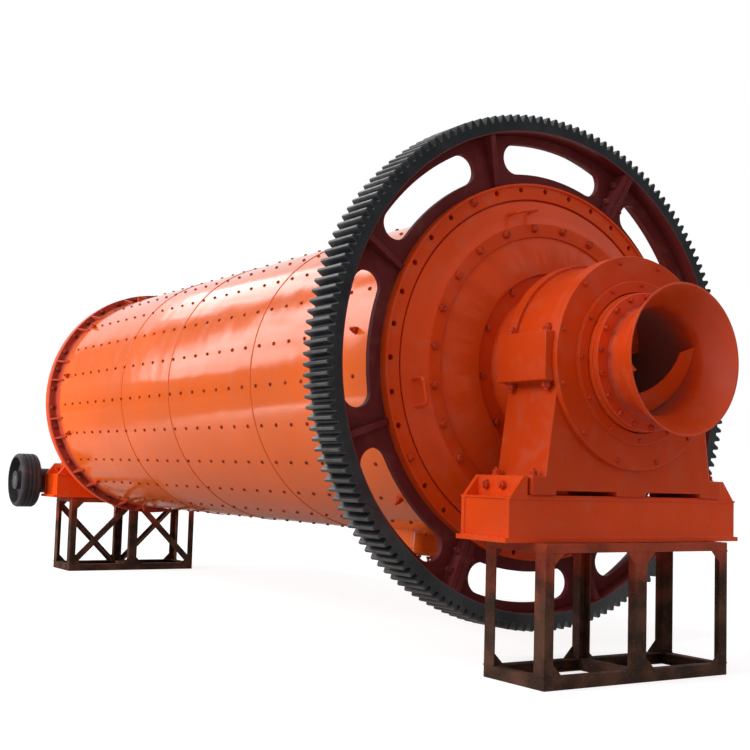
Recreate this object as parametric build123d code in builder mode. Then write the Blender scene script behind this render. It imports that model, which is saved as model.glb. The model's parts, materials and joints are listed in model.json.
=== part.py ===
from build123d import *
from math import acos, cos, pi, radians, sin, sqrt, tan
import os

# Horizontal tube ball mill: a welded drum with a girth gear, carried by a hollow
# trunnion at each end in a plain bearing, each bearing on a base and a steel stand.
# Millimetres. +X runs along the mill axis to the discharge end, +Z is up, the floor
# is z = 0 and x = 0 is midway between the two heads.

os.makedirs("parts", exist_ok=True)

# Drum shell
HEAD_SPAN = 6984
SHELL_BORE_R = 1200
SHELL_WALL = 22
SHELL_FLANGE_T = 50
FLANGE_WIDTH = 105
FEED_FLANGE_WIDTH = 68

# Stiffening gussets behind the feed flange, set in pairs
GUSSET_LENGTH = 234
GUSSET_T = 20
GUSSET_TOE = 10
GUSSET_PAIRS = 12
GUSSET_PAIR_START = 106
GUSSET_PAIR_ANGLE = 10

# Manhole on the underside of the shell
MANHOLE_INSET = 1203
MANHOLE_ANGLE = 265
MANHOLE_LENGTH = 534
MANHOLE_WIDTH = 440
MANHOLE_WALL = 48
MANHOLE_CORNER_R = 90
MANHOLE_RISE = 108
COVER_T = 34
COVER_BAR_WIDTH = 90
COVER_BAR_T = 19

# Girth gear, bolted up from two halves
MODULE = 22
GEAR_REACH = 455
PRESSURE_ANGLE = 20
DEDENDUM_SHARE = 1.25
GEAR_FACE = 300
GEAR_RIM_T = 70
GEAR_WEB_T = 50
GEAR_FLOOR_GAP = 201
SLOTS = 8
SLOT_INNER_LAND = 79
SLOT_OUTER_LAND = 66
SLOT_START = 85.5
SLOT_HALF_ANGLE = 13.2
RIB_T = 40
RIB_FOOT = 30
RIB_SETBACK = 15
RIB_SEAT_GAP = 0.3
JOINT_SPOKES = (3, 7)
JOINT_PLATE_T = 44
JOINT_PLATE_GAP = 4
JOINT_FOOT = 75
JOINT_SETBACK = 6

# Heads
HEAD_T = 62
HEAD_FLANGE_T = 60
FLANGE_HOLES = 36
FLANGE_HOLE_R = 19
HOLE_INSET = 44
FEED_HOLE_INSET = 34
HEAD_LIP_WIDTH = 15
HEAD_LIP_RISE = 14
GROOVE_OFFSET = 3
GROOVE_WIDTH = 14
GROOVE_DEPTH = 30
CONE_WIDTH = 172
CONE_FOOT_DROP = 6
CONE_BEND_X = 96
CONE_BEND_SHARE = 0.77
CONE_BEND_R = 250
BOLT_RING_WIDTH = 91
BOLT_RING_X = 135
BOLT_RING_STEP = 12
HUB_SEAT_X = 124
HUB_RECESS = 24
HUB_LIP = 20
HEAD_BORE_MARGIN = 25
SPIGOT_CLEARANCE = 0.5

# Lifting handles on the discharge head
HANDLE_ROD_R = 14
HANDLE_SPAN = 180
HANDLE_STANDOFF = 65
HANDLE_BEND_R = 38
HANDLE_CONE_SHARE = 0.48
HANDLE_ANGLES = (191, 103.5)

# Spouts in the trunnions
SPOUT_R = 353
SPOUT_WALL = 12
SPOUT_FLANGE_WIDTH = 87
SPOUT_FLANGE_T = 42
SPOUT_THROAT = 94
MOUTH_FLARE = 122
MOUTH_LENGTH = 221
MOUTH_BEND_R = 160

# Spiral vanes in the spouts
VANE_STARTS = 2
VANE_START_ANGLE = 20
VANE_DEPTH = 138
VANE_T = 12
VANE_PITCH = 1000
VANE_STEPS = 12
VANE_TURN_SHARE = 0.5

# Trunnions
SPOUT_GAP = 7
JOURNAL_WALL = 85
JOURNAL_OVERHANG = 94
TRUNNION_FLANGE_WIDTH = 225
TRUNNION_FLANGE_T = 52
TRUNNION_ROOT_WIDTH = 100
NECK_LENGTH = 168
COLLAR_WIDTH = 45
COLLAR_T = 32
COLLAR_GAP = 37

# Trunnion bearings
BEARING_WIDTH = 470
JOURNAL_CLEARANCE = 0.5
PEDESTAL_HEIGHT = 740
PEDESTAL_INSET = 37
PEDESTAL_TAPER = 100
SOLE_TOE = 105
SOLE_T = 115
SOLE_SLOT_HEIGHT = 27
SOLE_PAD_HALF = 128
SOLE_PAD_WIDTH = 90
CAP_WALL = 212
CAP_BAND_RISE = 30
CAP_INNER_BAND = 80
CAP_OUTER_BAND = 70
LUG_REACH = 83
LUG_DEPTH = 180
LUG_HEIGHT = 154
SEAL_PLATE_T = 43
SEAL_RING_WIDTH = 79
SEAL_RING_T = 22
INNER_SEAL_WIDTH = 155
SEAL_GAP = 6

# Bearing bases
BASE_WIDTH = 472
BASE_BACKSET = 22
BASE_BOTTOM_T = 29
BASE_BOTTOM_MARGIN = 40
BASE_HEIGHT = 257
BASE_SIDE_T = 30
BASE_RIM_T = 14
BASE_RIM_PROUD = 8
EAR_GAP = 17
EAR_CREST = 32
EAR_SLOPE = 101
EAR_RISE = 114
EAR_SHOULDER_DROP = 13
STOP_T = 28

# Stands
STAND_OFFSET = 40.5
STAND_HALF_DEPTH = 288.5
STAND_HALF_WIDTH = 787
BOTTOM_RAIL_HEIGHT = 78
TOP_RAIL_HEIGHT = 56
RAIL_FLANGE = 66
RAIL_T = 9
POST_DEPTH = 100
POST_WIDTH = 70
POST_T = 10
MID_POST_WIDTH = 100
MID_POST_DEPTH = 66
PLATE_GUSSET = 75
PLATE_GUSSET_T = 10
BRACE_ANGLE = 75
BRACE_T = 8

# Belt pulley beside the feed bearing base
PULLEY_R = 320
PULLEY_WIDTH = 240
PULLEY_RISE = 155
PULLEY_ROUND = 45
PULLEY_RIM_T = 46
TREAD_GROOVES = 3
TREAD_PITCH = 50
TREAD_GROOVE_WIDTH = 22
TREAD_GROOVE_DEPTH = 12
PULLEY_WEB_T = 40
PULLEY_HUB_WALL = 55
PULLEY_SHAFT_R = 55
PULLEY_SHAFT_CLEARANCE = 0.1
HOUSING_WALL = 91
HOUSING_CLEARANCE = 3
HOUSING_LENGTH = 150
HOUSING_SEAT = 82
HOUSING_GAP = 18
BRACKET_HEIGHT = 140

# One overrun for every cut that has to pass right through
OVERRUN = 20

# Radii of the drum, from the shell out to the gear's tips and in to the trunnions
shell_r = SHELL_BORE_R + SHELL_WALL
flange_r = shell_r + FLANGE_WIDTH
feed_flange_r = shell_r + FEED_FLANGE_WIDTH
teeth = round(2 * (flange_r + GEAR_REACH) / MODULE)
pitch_r = MODULE * teeth / 2
tip_r = pitch_r + MODULE
root_r = pitch_r - DEDENDUM_SHARE * MODULE
rim_bore_r = root_r - GEAR_RIM_T
groove_r = SHELL_BORE_R + GROOVE_OFFSET
bolt_ring_r = groove_r - CONE_WIDTH
ring_inner_r = bolt_ring_r - BOLT_RING_WIDTH
spout_bore_r = SPOUT_R - SPOUT_WALL
trunnion_bore_r = SPOUT_R + SPOUT_GAP
journal_r = trunnion_bore_r + JOURNAL_WALL
head_bore_r = journal_r + HEAD_BORE_MARGIN
trunnion_flange_r = journal_r + TRUNNION_FLANGE_WIDTH
hub_seat_r = trunnion_flange_r + SPIGOT_CLEARANCE
bearing_bore_r = journal_r + JOURNAL_CLEARANCE
cap_r = journal_r + CAP_WALL
cap_band_r = cap_r + CAP_BAND_RISE

# Places along the mill axis
head_x = HEAD_SPAN / 2
web_x = head_x - GEAR_WEB_T
hub_seat_x = head_x + HUB_SEAT_X
hub_face_x = hub_seat_x + TRUNNION_FLANGE_T
hub_lip_x = hub_face_x + HUB_RECESS
collar_x = hub_lip_x + NECK_LENGTH
bearing_inner_x = collar_x + COLLAR_T + COLLAR_GAP + SEAL_PLATE_T
bearing_outer_x = bearing_inner_x + BEARING_WIDTH
bearing_x = (bearing_inner_x + bearing_outer_x) / 2
journal_end_x = bearing_outer_x + JOURNAL_OVERHANG
throat_x = journal_end_x + SPOUT_FLANGE_T + SPOUT_THROAT
mouth_x = throat_x + MOUTH_LENGTH
base_x = bearing_x - BASE_BACKSET - BASE_WIDTH / 2
stand_x = bearing_x + STAND_OFFSET

# Heights, set by the gear's clearance over the floor
axis_height = tip_r + GEAR_FLOOR_GAP
sole_top = axis_height - PEDESTAL_HEIGHT
base_top = sole_top - SOLE_T
base_floor = base_top - BASE_HEIGHT
stand_height = base_floor - BASE_BOTTOM_T

# Half widths of the bearing and its base, each set by the piece above it
lug_half = cap_r + LUG_REACH
pedestal_top_half = cap_r - PEDESTAL_INSET
pedestal_foot_half = pedestal_top_half + PEDESTAL_TAPER
sole_half = pedestal_foot_half + SOLE_TOE
ear_inner = sole_half + EAR_GAP
ear_outer = ear_inner + EAR_CREST
base_half = ear_outer + EAR_SLOPE

MILL_AXIS = Axis((0, 0, axis_height), (1, 0, 0))
LENGTHWISE = Plane(origin=(0, 0, axis_height), x_dir=(1, 0, 0), z_dir=(0, -1, 0))


def across(x):
    """A plane square to the mill axis at x, centred on that axis."""
    return Plane(origin=(x, 0, axis_height), x_dir=(0, 1, 0), z_dir=(1, 0, 0))


def upright(x):
    """A plane square to the mill axis at x, with its origin on the floor."""
    return Plane(origin=(x, 0, 0), x_dir=(0, 1, 0), z_dir=(1, 0, 0))


def radial(x, angle):
    """A plane that holds the mill axis at x, with its second direction pointing out at angle."""
    turn = radians(angle)
    return Plane(origin=(x, 0, axis_height), x_dir=(1, 0, 0), z_dir=(0, -sin(turn), cos(turn)))


def profile(*points, rounds=0):
    """A closed outline in (x, radius), to be turned about the mill axis."""
    with BuildSketch(LENGTHWISE) as outline:
        with BuildLine():
            FilletPolyline(*points, radius=rounds, close=True)
        make_face()
    return outline.sketch


def export_piece(piece, name):
    piece.part.label = name
    export_step(piece.part, f"parts/{name}.step")


def export_both_ends(piece, name):
    """Write the discharge piece, and its mirror image for the feed end."""
    export_piece(piece, f"discharge_{name}")
    with BuildPart() as mirrored:
        mirror(piece.part, about=Plane.YZ)
    export_piece(mirrored, f"feed_{name}")


# Shell: a rolled and welded tube with the manhole cut through it
manhole_x = web_x - MANHOLE_INSET
manhole_plane = Plane(
    origin=(manhole_x, 0, axis_height),
    x_dir=(1, 0, 0),
    z_dir=(0, cos(radians(MANHOLE_ANGLE)), sin(radians(MANHOLE_ANGLE))),
)
opening_length = MANHOLE_LENGTH - 2 * MANHOLE_WALL
opening_width = MANHOLE_WIDTH - 2 * MANHOLE_WALL
opening_corner_r = MANHOLE_CORNER_R - MANHOLE_WALL / 2
with BuildPart() as shell:
    revolve(
        profile(
            (-head_x, SHELL_BORE_R),
            (web_x, SHELL_BORE_R),
            (web_x, shell_r),
            (-head_x, shell_r),
        ),
        axis=MILL_AXIS,
    )
    with BuildSketch(manhole_plane):
        RectangleRounded(opening_length, opening_width, opening_corner_r)
    extrude(amount=shell_r + OVERRUN, mode=Mode.SUBTRACT)
export_piece(shell, "shell")

# Shell flanges: flat rings welded round the shell's two ends
with BuildPart() as discharge_shell_flange:
    with BuildSketch(across(web_x - SHELL_FLANGE_T)):
        Circle(flange_r)
        Circle(shell_r, mode=Mode.SUBTRACT)
    extrude(amount=SHELL_FLANGE_T)
export_piece(discharge_shell_flange, "discharge_shell_flange")

with BuildPart() as feed_shell_flange:
    with BuildSketch(across(-head_x)):
        Circle(feed_flange_r)
        Circle(shell_r, mode=Mode.SUBTRACT)
    extrude(amount=SHELL_FLANGE_T)
export_piece(feed_shell_flange, "feed_shell_flange")

# Feed flange gussets: tapered plates between the flange and the shell
gusset_x = SHELL_FLANGE_T - head_x
with BuildPart() as feed_flange_gussets:
    for pair in range(GUSSET_PAIRS):
        pair_angle = GUSSET_PAIR_START + pair * 360 / GUSSET_PAIRS
        for side in (-1, 1):
            with BuildSketch(radial(gusset_x, pair_angle + side * GUSSET_PAIR_ANGLE / 2)):
                with BuildLine():
                    Polyline(
                        (0, shell_r),
                        (GUSSET_LENGTH, shell_r),
                        (GUSSET_LENGTH, shell_r + GUSSET_TOE),
                        (0, feed_flange_r),
                        close=True,
                    )
                make_face()
            extrude(amount=GUSSET_T / 2, both=True)
export_piece(feed_flange_gussets, "feed_flange_gussets")

# Manhole: a rounded frame welded on the shell, closed by a cover with a cross bar
frame_top_r = shell_r + MANHOLE_RISE
with BuildPart() as manhole_frame:
    with BuildSketch(manhole_plane.offset(SHELL_BORE_R)):
        RectangleRounded(MANHOLE_LENGTH, MANHOLE_WIDTH, MANHOLE_CORNER_R)
        RectangleRounded(opening_length, opening_width, opening_corner_r, mode=Mode.SUBTRACT)
    extrude(amount=frame_top_r - SHELL_BORE_R)
    with BuildSketch(across(manhole_x - MANHOLE_LENGTH)):
        Circle(shell_r)
    extrude(amount=2 * MANHOLE_LENGTH, mode=Mode.SUBTRACT)
export_piece(manhole_frame, "manhole_frame")

with BuildPart() as manhole_cover:
    with BuildSketch(manhole_plane.offset(frame_top_r)):
        RectangleRounded(MANHOLE_LENGTH, MANHOLE_WIDTH, MANHOLE_CORNER_R)
    extrude(amount=COVER_T)
    with BuildSketch(manhole_plane.offset(frame_top_r + COVER_T)):
        Rectangle(COVER_BAR_WIDTH, MANHOLE_WIDTH)
    extrude(amount=COVER_BAR_T)
export_piece(manhole_cover, "manhole_cover")

# Girth gear rim: involute spur teeth, each flank drawn through root, pitch and tip
base_r = pitch_r * cos(radians(PRESSURE_ANGLE))


def involute(angle):
    return tan(angle) - angle


def half_tooth_angle(radius):
    """Half the angle that one tooth spans at this radius."""
    at_pitch = pi / (2 * teeth) + involute(radians(PRESSURE_ANGLE))
    return at_pitch - involute(acos(base_r / radius))


tooth_points = []
for tooth in range(teeth):
    centre = 2 * pi * tooth / teeth
    for flank, radii in ((-1, (root_r, pitch_r, tip_r)), (1, (tip_r, pitch_r, root_r))):
        for radius in radii:
            turn = centre + flank * half_tooth_angle(radius)
            tooth_points.append((radius * cos(turn), radius * sin(turn)))

gear_x = web_x + GEAR_WEB_T / 2 - GEAR_FACE / 2
with BuildPart() as girth_gear_rim:
    with BuildSketch(across(gear_x)):
        with BuildLine():
            Polyline(*tooth_points, close=True)
        make_face()
        Circle(rim_bore_r, mode=Mode.SUBTRACT)
    extrude(amount=GEAR_FACE)
export_piece(girth_gear_rim, "girth_gear_rim")

# Girth gear web: a disc clamped between the shell flange and the head, with kidney slots
slot_inner_r = flange_r + SLOT_INNER_LAND
slot_outer_r = rim_bore_r - SLOT_OUTER_LAND
slot_centre_r = (slot_inner_r + slot_outer_r) / 2
slot_line = CenterArc(
    (0, 0), slot_centre_r, SLOT_START - SLOT_HALF_ANGLE, 2 * SLOT_HALF_ANGLE
)
with BuildPart() as girth_gear_web:
    with BuildSketch(across(web_x)):
        Circle(rim_bore_r)
        Circle(SHELL_BORE_R, mode=Mode.SUBTRACT)
        with PolarLocations(0, SLOTS):
            SlotArc(slot_line, slot_outer_r - slot_inner_r, mode=Mode.SUBTRACT)
    extrude(amount=GEAR_WEB_T)
export_piece(girth_gear_web, "girth_gear_web")

# Girth gear ribs: one on each side of every plain spoke, deepest at the rim
gear_middle_x = web_x + GEAR_WEB_T / 2
rib_top_r = rim_bore_r - RIB_SEAT_GAP


def spoke_angle(spoke):
    return SLOT_START + (spoke + 1 / 2) * 360 / SLOTS


def rib_outline(angle, side, foot, setback, half_t):
    """A tapered outline on one side of the web; a plate of this half thickness clears the round rim."""
    web_face = side * GEAR_WEB_T / 2
    top_r = sqrt(rib_top_r**2 - half_t**2)
    with BuildSketch(radial(gear_middle_x, angle)) as outline:
        with BuildLine():
            Polyline(
                (web_face, flange_r),
                (web_face + side * foot, flange_r),
                (side * (GEAR_FACE / 2 - setback), top_r),
                (web_face, top_r),
                close=True,
            )
        make_face()
    return outline.sketch


with BuildPart() as girth_gear_ribs:
    for spoke in range(SLOTS):
        if spoke not in JOINT_SPOKES:
            for side in (-1, 1):
                outline = rib_outline(spoke_angle(spoke), side, RIB_FOOT, RIB_SETBACK, RIB_T / 2)
                extrude(outline, amount=RIB_T / 2, both=True)
export_piece(girth_gear_ribs, "girth_gear_ribs")

# Girth gear joints: pairs of thick plates that are bolted together where the halves meet
joint_half_t = JOINT_PLATE_GAP / 2 + JOINT_PLATE_T
with BuildPart() as girth_gear_joints:
    for spoke in JOINT_SPOKES:
        for side in (-1, 1):
            outline = rib_outline(spoke_angle(spoke), side, JOINT_FOOT, JOINT_SETBACK, joint_half_t)
            extrude(outline, amount=joint_half_t, both=True)
            extrude(outline, amount=JOINT_PLATE_GAP / 2, both=True, mode=Mode.SUBTRACT)
export_piece(girth_gear_joints, "girth_gear_joints")

# Heads: dished castings with a lipped and grooved flange, a raised bolt ring and a counterbored hub
spigot_r = SHELL_BORE_R - SPIGOT_CLEARANCE
flange_face_x = head_x + HEAD_FLANGE_T
groove_floor_x = flange_face_x - GROOVE_DEPTH
ring_back_x = head_x + BOLT_RING_X - BOLT_RING_STEP
hub_back_x = hub_seat_x - HEAD_T


def head_profile(rim_r):
    return profile(
        (head_x, rim_r),
        (flange_face_x + HEAD_LIP_RISE, rim_r),
        (flange_face_x + HEAD_LIP_RISE, rim_r - HEAD_LIP_WIDTH),
        (flange_face_x, rim_r - HEAD_LIP_WIDTH),
        (flange_face_x, groove_r + GROOVE_WIDTH),
        (groove_floor_x, groove_r + GROOVE_WIDTH),
        (groove_floor_x, groove_r),
        (flange_face_x - CONE_FOOT_DROP, groove_r),
        (head_x + CONE_BEND_X, groove_r - CONE_BEND_SHARE * CONE_WIDTH),
        (ring_back_x, bolt_ring_r),
        (head_x + BOLT_RING_X, bolt_ring_r),
        (head_x + BOLT_RING_X, ring_inner_r),
        (ring_back_x, ring_inner_r),
        (hub_lip_x, hub_seat_r + HUB_LIP),
        (hub_lip_x, hub_seat_r),
        (hub_seat_x, hub_seat_r),
        (hub_seat_x, head_bore_r),
        (hub_back_x, head_bore_r),
        (ring_back_x - HEAD_T, ring_inner_r),
        (web_x, groove_r - HEAD_T),
        (web_x, spigot_r),
        (head_x, spigot_r),
        rounds=[0] * 8 + [CONE_BEND_R] + [0] * 13,
    )


with BuildPart() as discharge_head:
    revolve(head_profile(flange_r), axis=MILL_AXIS)
    with BuildSketch(across(head_x)):
        with PolarLocations(flange_r - HOLE_INSET, FLANGE_HOLES):
            Circle(FLANGE_HOLE_R)
    extrude(amount=HEAD_FLANGE_T, mode=Mode.SUBTRACT)
export_piece(discharge_head, "discharge_head")

with BuildPart() as smaller_head:
    revolve(head_profile(feed_flange_r), axis=MILL_AXIS)
    with BuildSketch(across(head_x)):
        with PolarLocations(feed_flange_r - FEED_HOLE_INSET, FLANGE_HOLES):
            Circle(FLANGE_HOLE_R)
    extrude(amount=HEAD_FLANGE_T, mode=Mode.SUBTRACT)
with BuildPart() as feed_head:
    mirror(smaller_head.part, about=Plane.YZ)
export_piece(feed_head, "feed_head")

# Lifting handles: bent rods welded to the cone of the discharge head
handle_r = groove_r - HANDLE_CONE_SHARE * CONE_WIDTH
handle_reach = BOLT_RING_X + HANDLE_STANDOFF
with BuildPart() as lifting_handles:
    for angle in HANDLE_ANGLES:
        turn = radians(angle)
        handle_plane = Plane(
            origin=(head_x, handle_r * cos(turn), axis_height + handle_r * sin(turn)),
            x_dir=(0, -sin(turn), cos(turn)),
            z_dir=(0, cos(turn), sin(turn)),
        )
        with BuildLine(handle_plane) as handle_path:
            FilletPolyline(
                (-HANDLE_SPAN / 2, 0),
                (-HANDLE_SPAN / 2, handle_reach),
                (HANDLE_SPAN / 2, handle_reach),
                (HANDLE_SPAN / 2, 0),
                radius=HANDLE_BEND_R,
            )
        with BuildSketch(Plane(origin=handle_path.line @ 0, z_dir=handle_path.line % 0)):
            Circle(HANDLE_ROD_R)
        sweep(path=handle_path.line)
    add(discharge_head.part, mode=Mode.SUBTRACT)
export_piece(lifting_handles, "lifting_handles")

# Trunnions: hollow journals with a flange that seats in the head's counterbore
collar_r = journal_r + COLLAR_WIDTH
with BuildPart() as trunnion:
    revolve(
        profile(
            (hub_back_x, trunnion_bore_r),
            (hub_back_x, head_bore_r - SPIGOT_CLEARANCE),
            (hub_seat_x, head_bore_r - SPIGOT_CLEARANCE),
            (hub_seat_x, trunnion_flange_r),
            (hub_face_x, trunnion_flange_r),
            (hub_face_x, journal_r + TRUNNION_ROOT_WIDTH),
            (collar_x, collar_r),
            (collar_x + COLLAR_T, collar_r),
            (collar_x + COLLAR_T, journal_r),
            (journal_end_x, journal_r),
            (journal_end_x, trunnion_bore_r),
        ),
        axis=MILL_AXIS,
    )
export_both_ends(trunnion, "trunnion")

# Spouts: liner tubes through the trunnions, with a bolting flange and a flared mouth
spout_flange_r = SPOUT_R + SPOUT_FLANGE_WIDTH
mouth_r = SPOUT_R + MOUTH_FLARE
with BuildPart() as spout:
    revolve(
        profile(
            (hub_back_x, spout_bore_r),
            (hub_back_x, SPOUT_R),
            (journal_end_x, SPOUT_R),
            (journal_end_x, spout_flange_r),
            (journal_end_x + SPOUT_FLANGE_T, spout_flange_r),
            (journal_end_x + SPOUT_FLANGE_T, SPOUT_R),
            (throat_x, SPOUT_R),
            (mouth_x, mouth_r),
            (mouth_x, mouth_r - SPOUT_WALL),
            (throat_x, spout_bore_r),
            rounds=[0, 0, 0, 0, 0, 0, MOUTH_BEND_R, 0, 0, MOUTH_BEND_R],
        ),
        axis=MILL_AXIS,
    )
export_both_ends(spout, "spout")


# Spirals: helical vanes along the spout's wall, joined from flat-sided sections
def vane_section(x, angle):
    with BuildSketch(radial(x, angle)) as section:
        with Locations((0, spout_bore_r)):
            Rectangle(VANE_T, VANE_DEPTH, align=(Align.CENTER, Align.MAX))
    return section.sketch


with BuildPart() as discharge_spiral:
    for start in range(VANE_STARTS):
        first_angle = VANE_START_ANGLE + start * 360 / VANE_STARTS
        sections = []
        for step in range(VANE_STEPS + 1):
            turned_share = VANE_TURN_SHARE * step / VANE_STEPS
            section_x = throat_x - VANE_T - VANE_PITCH * turned_share
            sections.append(vane_section(section_x, first_angle - 360 * turned_share))
        loft(sections, ruled=True)
export_piece(discharge_spiral, "discharge_spiral")

with BuildPart() as feed_spiral:
    add(discharge_spiral.part, rotation=(0, 0, 180))
export_piece(feed_spiral, "feed_spiral")

# Bearing pedestals: tapered housings on a long sole, bored for the journal
sole_slot_outer = pedestal_foot_half - SOLE_PAD_WIDTH
slot_middle = (SOLE_PAD_HALF + sole_slot_outer) / 2
with BuildPart() as pedestal:
    with BuildSketch(upright(bearing_inner_x)):
        with BuildLine():
            Polyline(
                (-pedestal_foot_half, sole_top),
                (pedestal_foot_half, sole_top),
                (pedestal_top_half, axis_height),
                (-pedestal_top_half, axis_height),
                close=True,
            )
        make_face()
        with Locations((0, base_top)):
            Rectangle(2 * sole_half, SOLE_T, align=(Align.CENTER, Align.MIN))
        for side in (-1, 1):
            with Locations((side * (lug_half - LUG_DEPTH / 2), axis_height)):
                Rectangle(LUG_DEPTH, LUG_HEIGHT, align=(Align.CENTER, Align.MAX))
            with Locations((side * slot_middle, base_top)):
                Rectangle(
                    sole_slot_outer - SOLE_PAD_HALF,
                    SOLE_SLOT_HEIGHT,
                    align=(Align.CENTER, Align.MIN),
                    mode=Mode.SUBTRACT,
                )
        with Locations((0, axis_height)):
            Circle(bearing_bore_r, mode=Mode.SUBTRACT)
    extrude(amount=BEARING_WIDTH)
export_both_ends(pedestal, "pedestal")

# Bearing caps: half-round covers with end bands and bolting lugs
with BuildPart() as bearing_cap:
    with BuildSketch(across(bearing_inner_x)):
        Circle(cap_r)
        for side in (-1, 1):
            with Locations((side * (lug_half - LUG_DEPTH / 2), 0)):
                Rectangle(LUG_DEPTH, LUG_HEIGHT, align=(Align.CENTER, Align.MIN))
    extrude(amount=BEARING_WIDTH)
    for band_x, band_width in (
        (bearing_inner_x, CAP_INNER_BAND),
        (bearing_outer_x - CAP_OUTER_BAND, CAP_OUTER_BAND),
    ):
        with BuildSketch(across(band_x)):
            Circle(cap_band_r)
        extrude(amount=band_width)
    with BuildSketch(across(bearing_inner_x)):
        Circle(bearing_bore_r)
        Rectangle(2 * lug_half, 2 * cap_band_r, align=(Align.CENTER, Align.MAX))
    extrude(amount=BEARING_WIDTH, mode=Mode.SUBTRACT)
export_both_ends(bearing_cap, "bearing_cap")

# Bearing seals: an outer plate with a raised ring, and an inner ring towards the head
seal_bore_r = journal_r + SEAL_GAP
seal_ring_x = bearing_outer_x + SEAL_PLATE_T
with BuildPart() as outer_seal:
    revolve(
        profile(
            (bearing_outer_x, seal_bore_r),
            (bearing_outer_x, cap_band_r),
            (seal_ring_x, cap_band_r),
            (seal_ring_x, journal_r + SEAL_RING_WIDTH),
            (seal_ring_x + SEAL_RING_T, journal_r + SEAL_RING_WIDTH),
            (seal_ring_x + SEAL_RING_T, seal_bore_r),
        ),
        axis=MILL_AXIS,
    )
export_both_ends(outer_seal, "outer_seal")

with BuildPart() as inner_seal:
    with BuildSketch(across(bearing_inner_x - SEAL_PLATE_T)):
        Circle(journal_r + INNER_SEAL_WIDTH)
        Circle(seal_bore_r, mode=Mode.SUBTRACT)
    extrude(amount=SEAL_PLATE_T)
export_both_ends(inner_seal, "inner_seal")

# Bearing bases: boxes with a proud rim, and side plates that rise to ears past the sole's ends
base_middle_x = base_x + BASE_WIDTH / 2
base_shoulder = BASE_HEIGHT - EAR_SHOULDER_DROP
rim_width = BASE_WIDTH + 2 * BASE_RIM_PROUD
rim_length = 2 * (base_half + BASE_RIM_PROUD)
with BuildPart() as bearing_base:
    with BuildSketch(Plane.XY.offset(stand_height)):
        with Locations((base_middle_x, 0)):
            Rectangle(rim_width, 2 * (base_half + BASE_BOTTOM_MARGIN))
    extrude(amount=BASE_BOTTOM_T)
    with BuildSketch(Plane.XY.offset(base_floor)):
        with Locations((base_middle_x, 0)):
            Rectangle(BASE_WIDTH, 2 * ear_outer)
    extrude(amount=BASE_HEIGHT)
    with BuildSketch(Plane.XY.offset(base_floor)):
        with Locations((base_middle_x, 0)):
            Rectangle(BASE_WIDTH, 2 * base_half)
        for side_x in (base_x + BASE_SIDE_T / 2, base_x + BASE_WIDTH - BASE_SIDE_T / 2):
            with Locations((side_x, 0)):
                Rectangle(BASE_SIDE_T, rim_length)
    extrude(amount=base_shoulder)
    with BuildSketch(Plane.XY.offset(base_floor + base_shoulder - BASE_RIM_T)):
        with Locations((base_middle_x, 0)):
            Rectangle(rim_width, rim_length)
    extrude(amount=BASE_RIM_T)
    with BuildSketch(upright(base_x), upright(base_x + BASE_WIDTH - BASE_SIDE_T)):
        for side in (-1, 1):
            with BuildLine():
                Polyline(
                    (side * ear_inner, base_floor),
                    (side * base_half, base_floor),
                    (side * base_half, base_top - EAR_SHOULDER_DROP),
                    (side * ear_outer, base_top + EAR_RISE),
                    (side * ear_inner, base_top + EAR_RISE),
                    close=True,
                )
            make_face()
    extrude(amount=BASE_SIDE_T)
    with BuildSketch(Plane.XY.offset(base_top)):
        for side in (-1, 1):
            with Locations((base_middle_x, side * (ear_outer - STOP_T / 2))):
                Rectangle(BASE_WIDTH - 2 * BASE_SIDE_T, STOP_T)
    extrude(amount=EAR_RISE)
export_both_ends(bearing_base, "bearing_base")


# Stand rails: a channel frame on the floor and another under the base
def channel_frame(z, rail_height):
    """Channel section round the stand's outline, with its open side facing in."""
    depth = 2 * STAND_HALF_DEPTH
    width = 2 * STAND_HALF_WIDTH
    with BuildPart() as frame:
        for height, thickness, bar in (
            (z, rail_height, RAIL_T),
            (z, RAIL_T, RAIL_FLANGE),
            (z + rail_height - RAIL_T, RAIL_T, RAIL_FLANGE),
        ):
            with BuildSketch(Plane.XY.offset(height)):
                with Locations((stand_x, 0)):
                    Rectangle(depth, width)
                    Rectangle(depth - 2 * bar, width - 2 * bar, mode=Mode.SUBTRACT)
            extrude(amount=thickness)
        with BuildSketch(Plane.XY.offset(z)):
            with Locations((stand_x, 0)):
                Rectangle(depth - RAIL_T, RAIL_FLANGE)
        extrude(amount=rail_height)
    return frame


top_rail_z = stand_height - TOP_RAIL_HEIGHT
export_both_ends(channel_frame(0, BOTTOM_RAIL_HEIGHT), "stand_bottom_rails")
export_both_ends(channel_frame(top_rail_z, TOP_RAIL_HEIGHT), "stand_top_rails")

# Stand posts: an angle at each corner, and a channel midway along each long side
post_height = top_rail_z - BOTTOM_RAIL_HEIGHT
with BuildPart() as stand_posts:
    with BuildSketch(Plane.XY.offset(BOTTOM_RAIL_HEIGHT)):
        for side_x in (-1, 1):
            for side_y in (-1, 1):
                corner = (stand_x + side_x * STAND_HALF_DEPTH, side_y * STAND_HALF_WIDTH)
                inwards = (
                    Align.MIN if side_x < 0 else Align.MAX,
                    Align.MIN if side_y < 0 else Align.MAX,
                )
                with Locations(corner):
                    Rectangle(POST_DEPTH, POST_T, align=inwards)
                    Rectangle(POST_T, POST_WIDTH, align=inwards)
            outer_x = stand_x + side_x * STAND_HALF_DEPTH
            middle_x = outer_x - side_x * MID_POST_DEPTH / 2
            with Locations((middle_x, 0)):
                Rectangle(MID_POST_DEPTH, MID_POST_WIDTH)
            with Locations((middle_x - side_x * POST_T, 0)):
                Rectangle(MID_POST_DEPTH, MID_POST_WIDTH - 2 * POST_T, mode=Mode.SUBTRACT)
    extrude(amount=post_height)
export_both_ends(stand_posts, "stand_posts")

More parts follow.
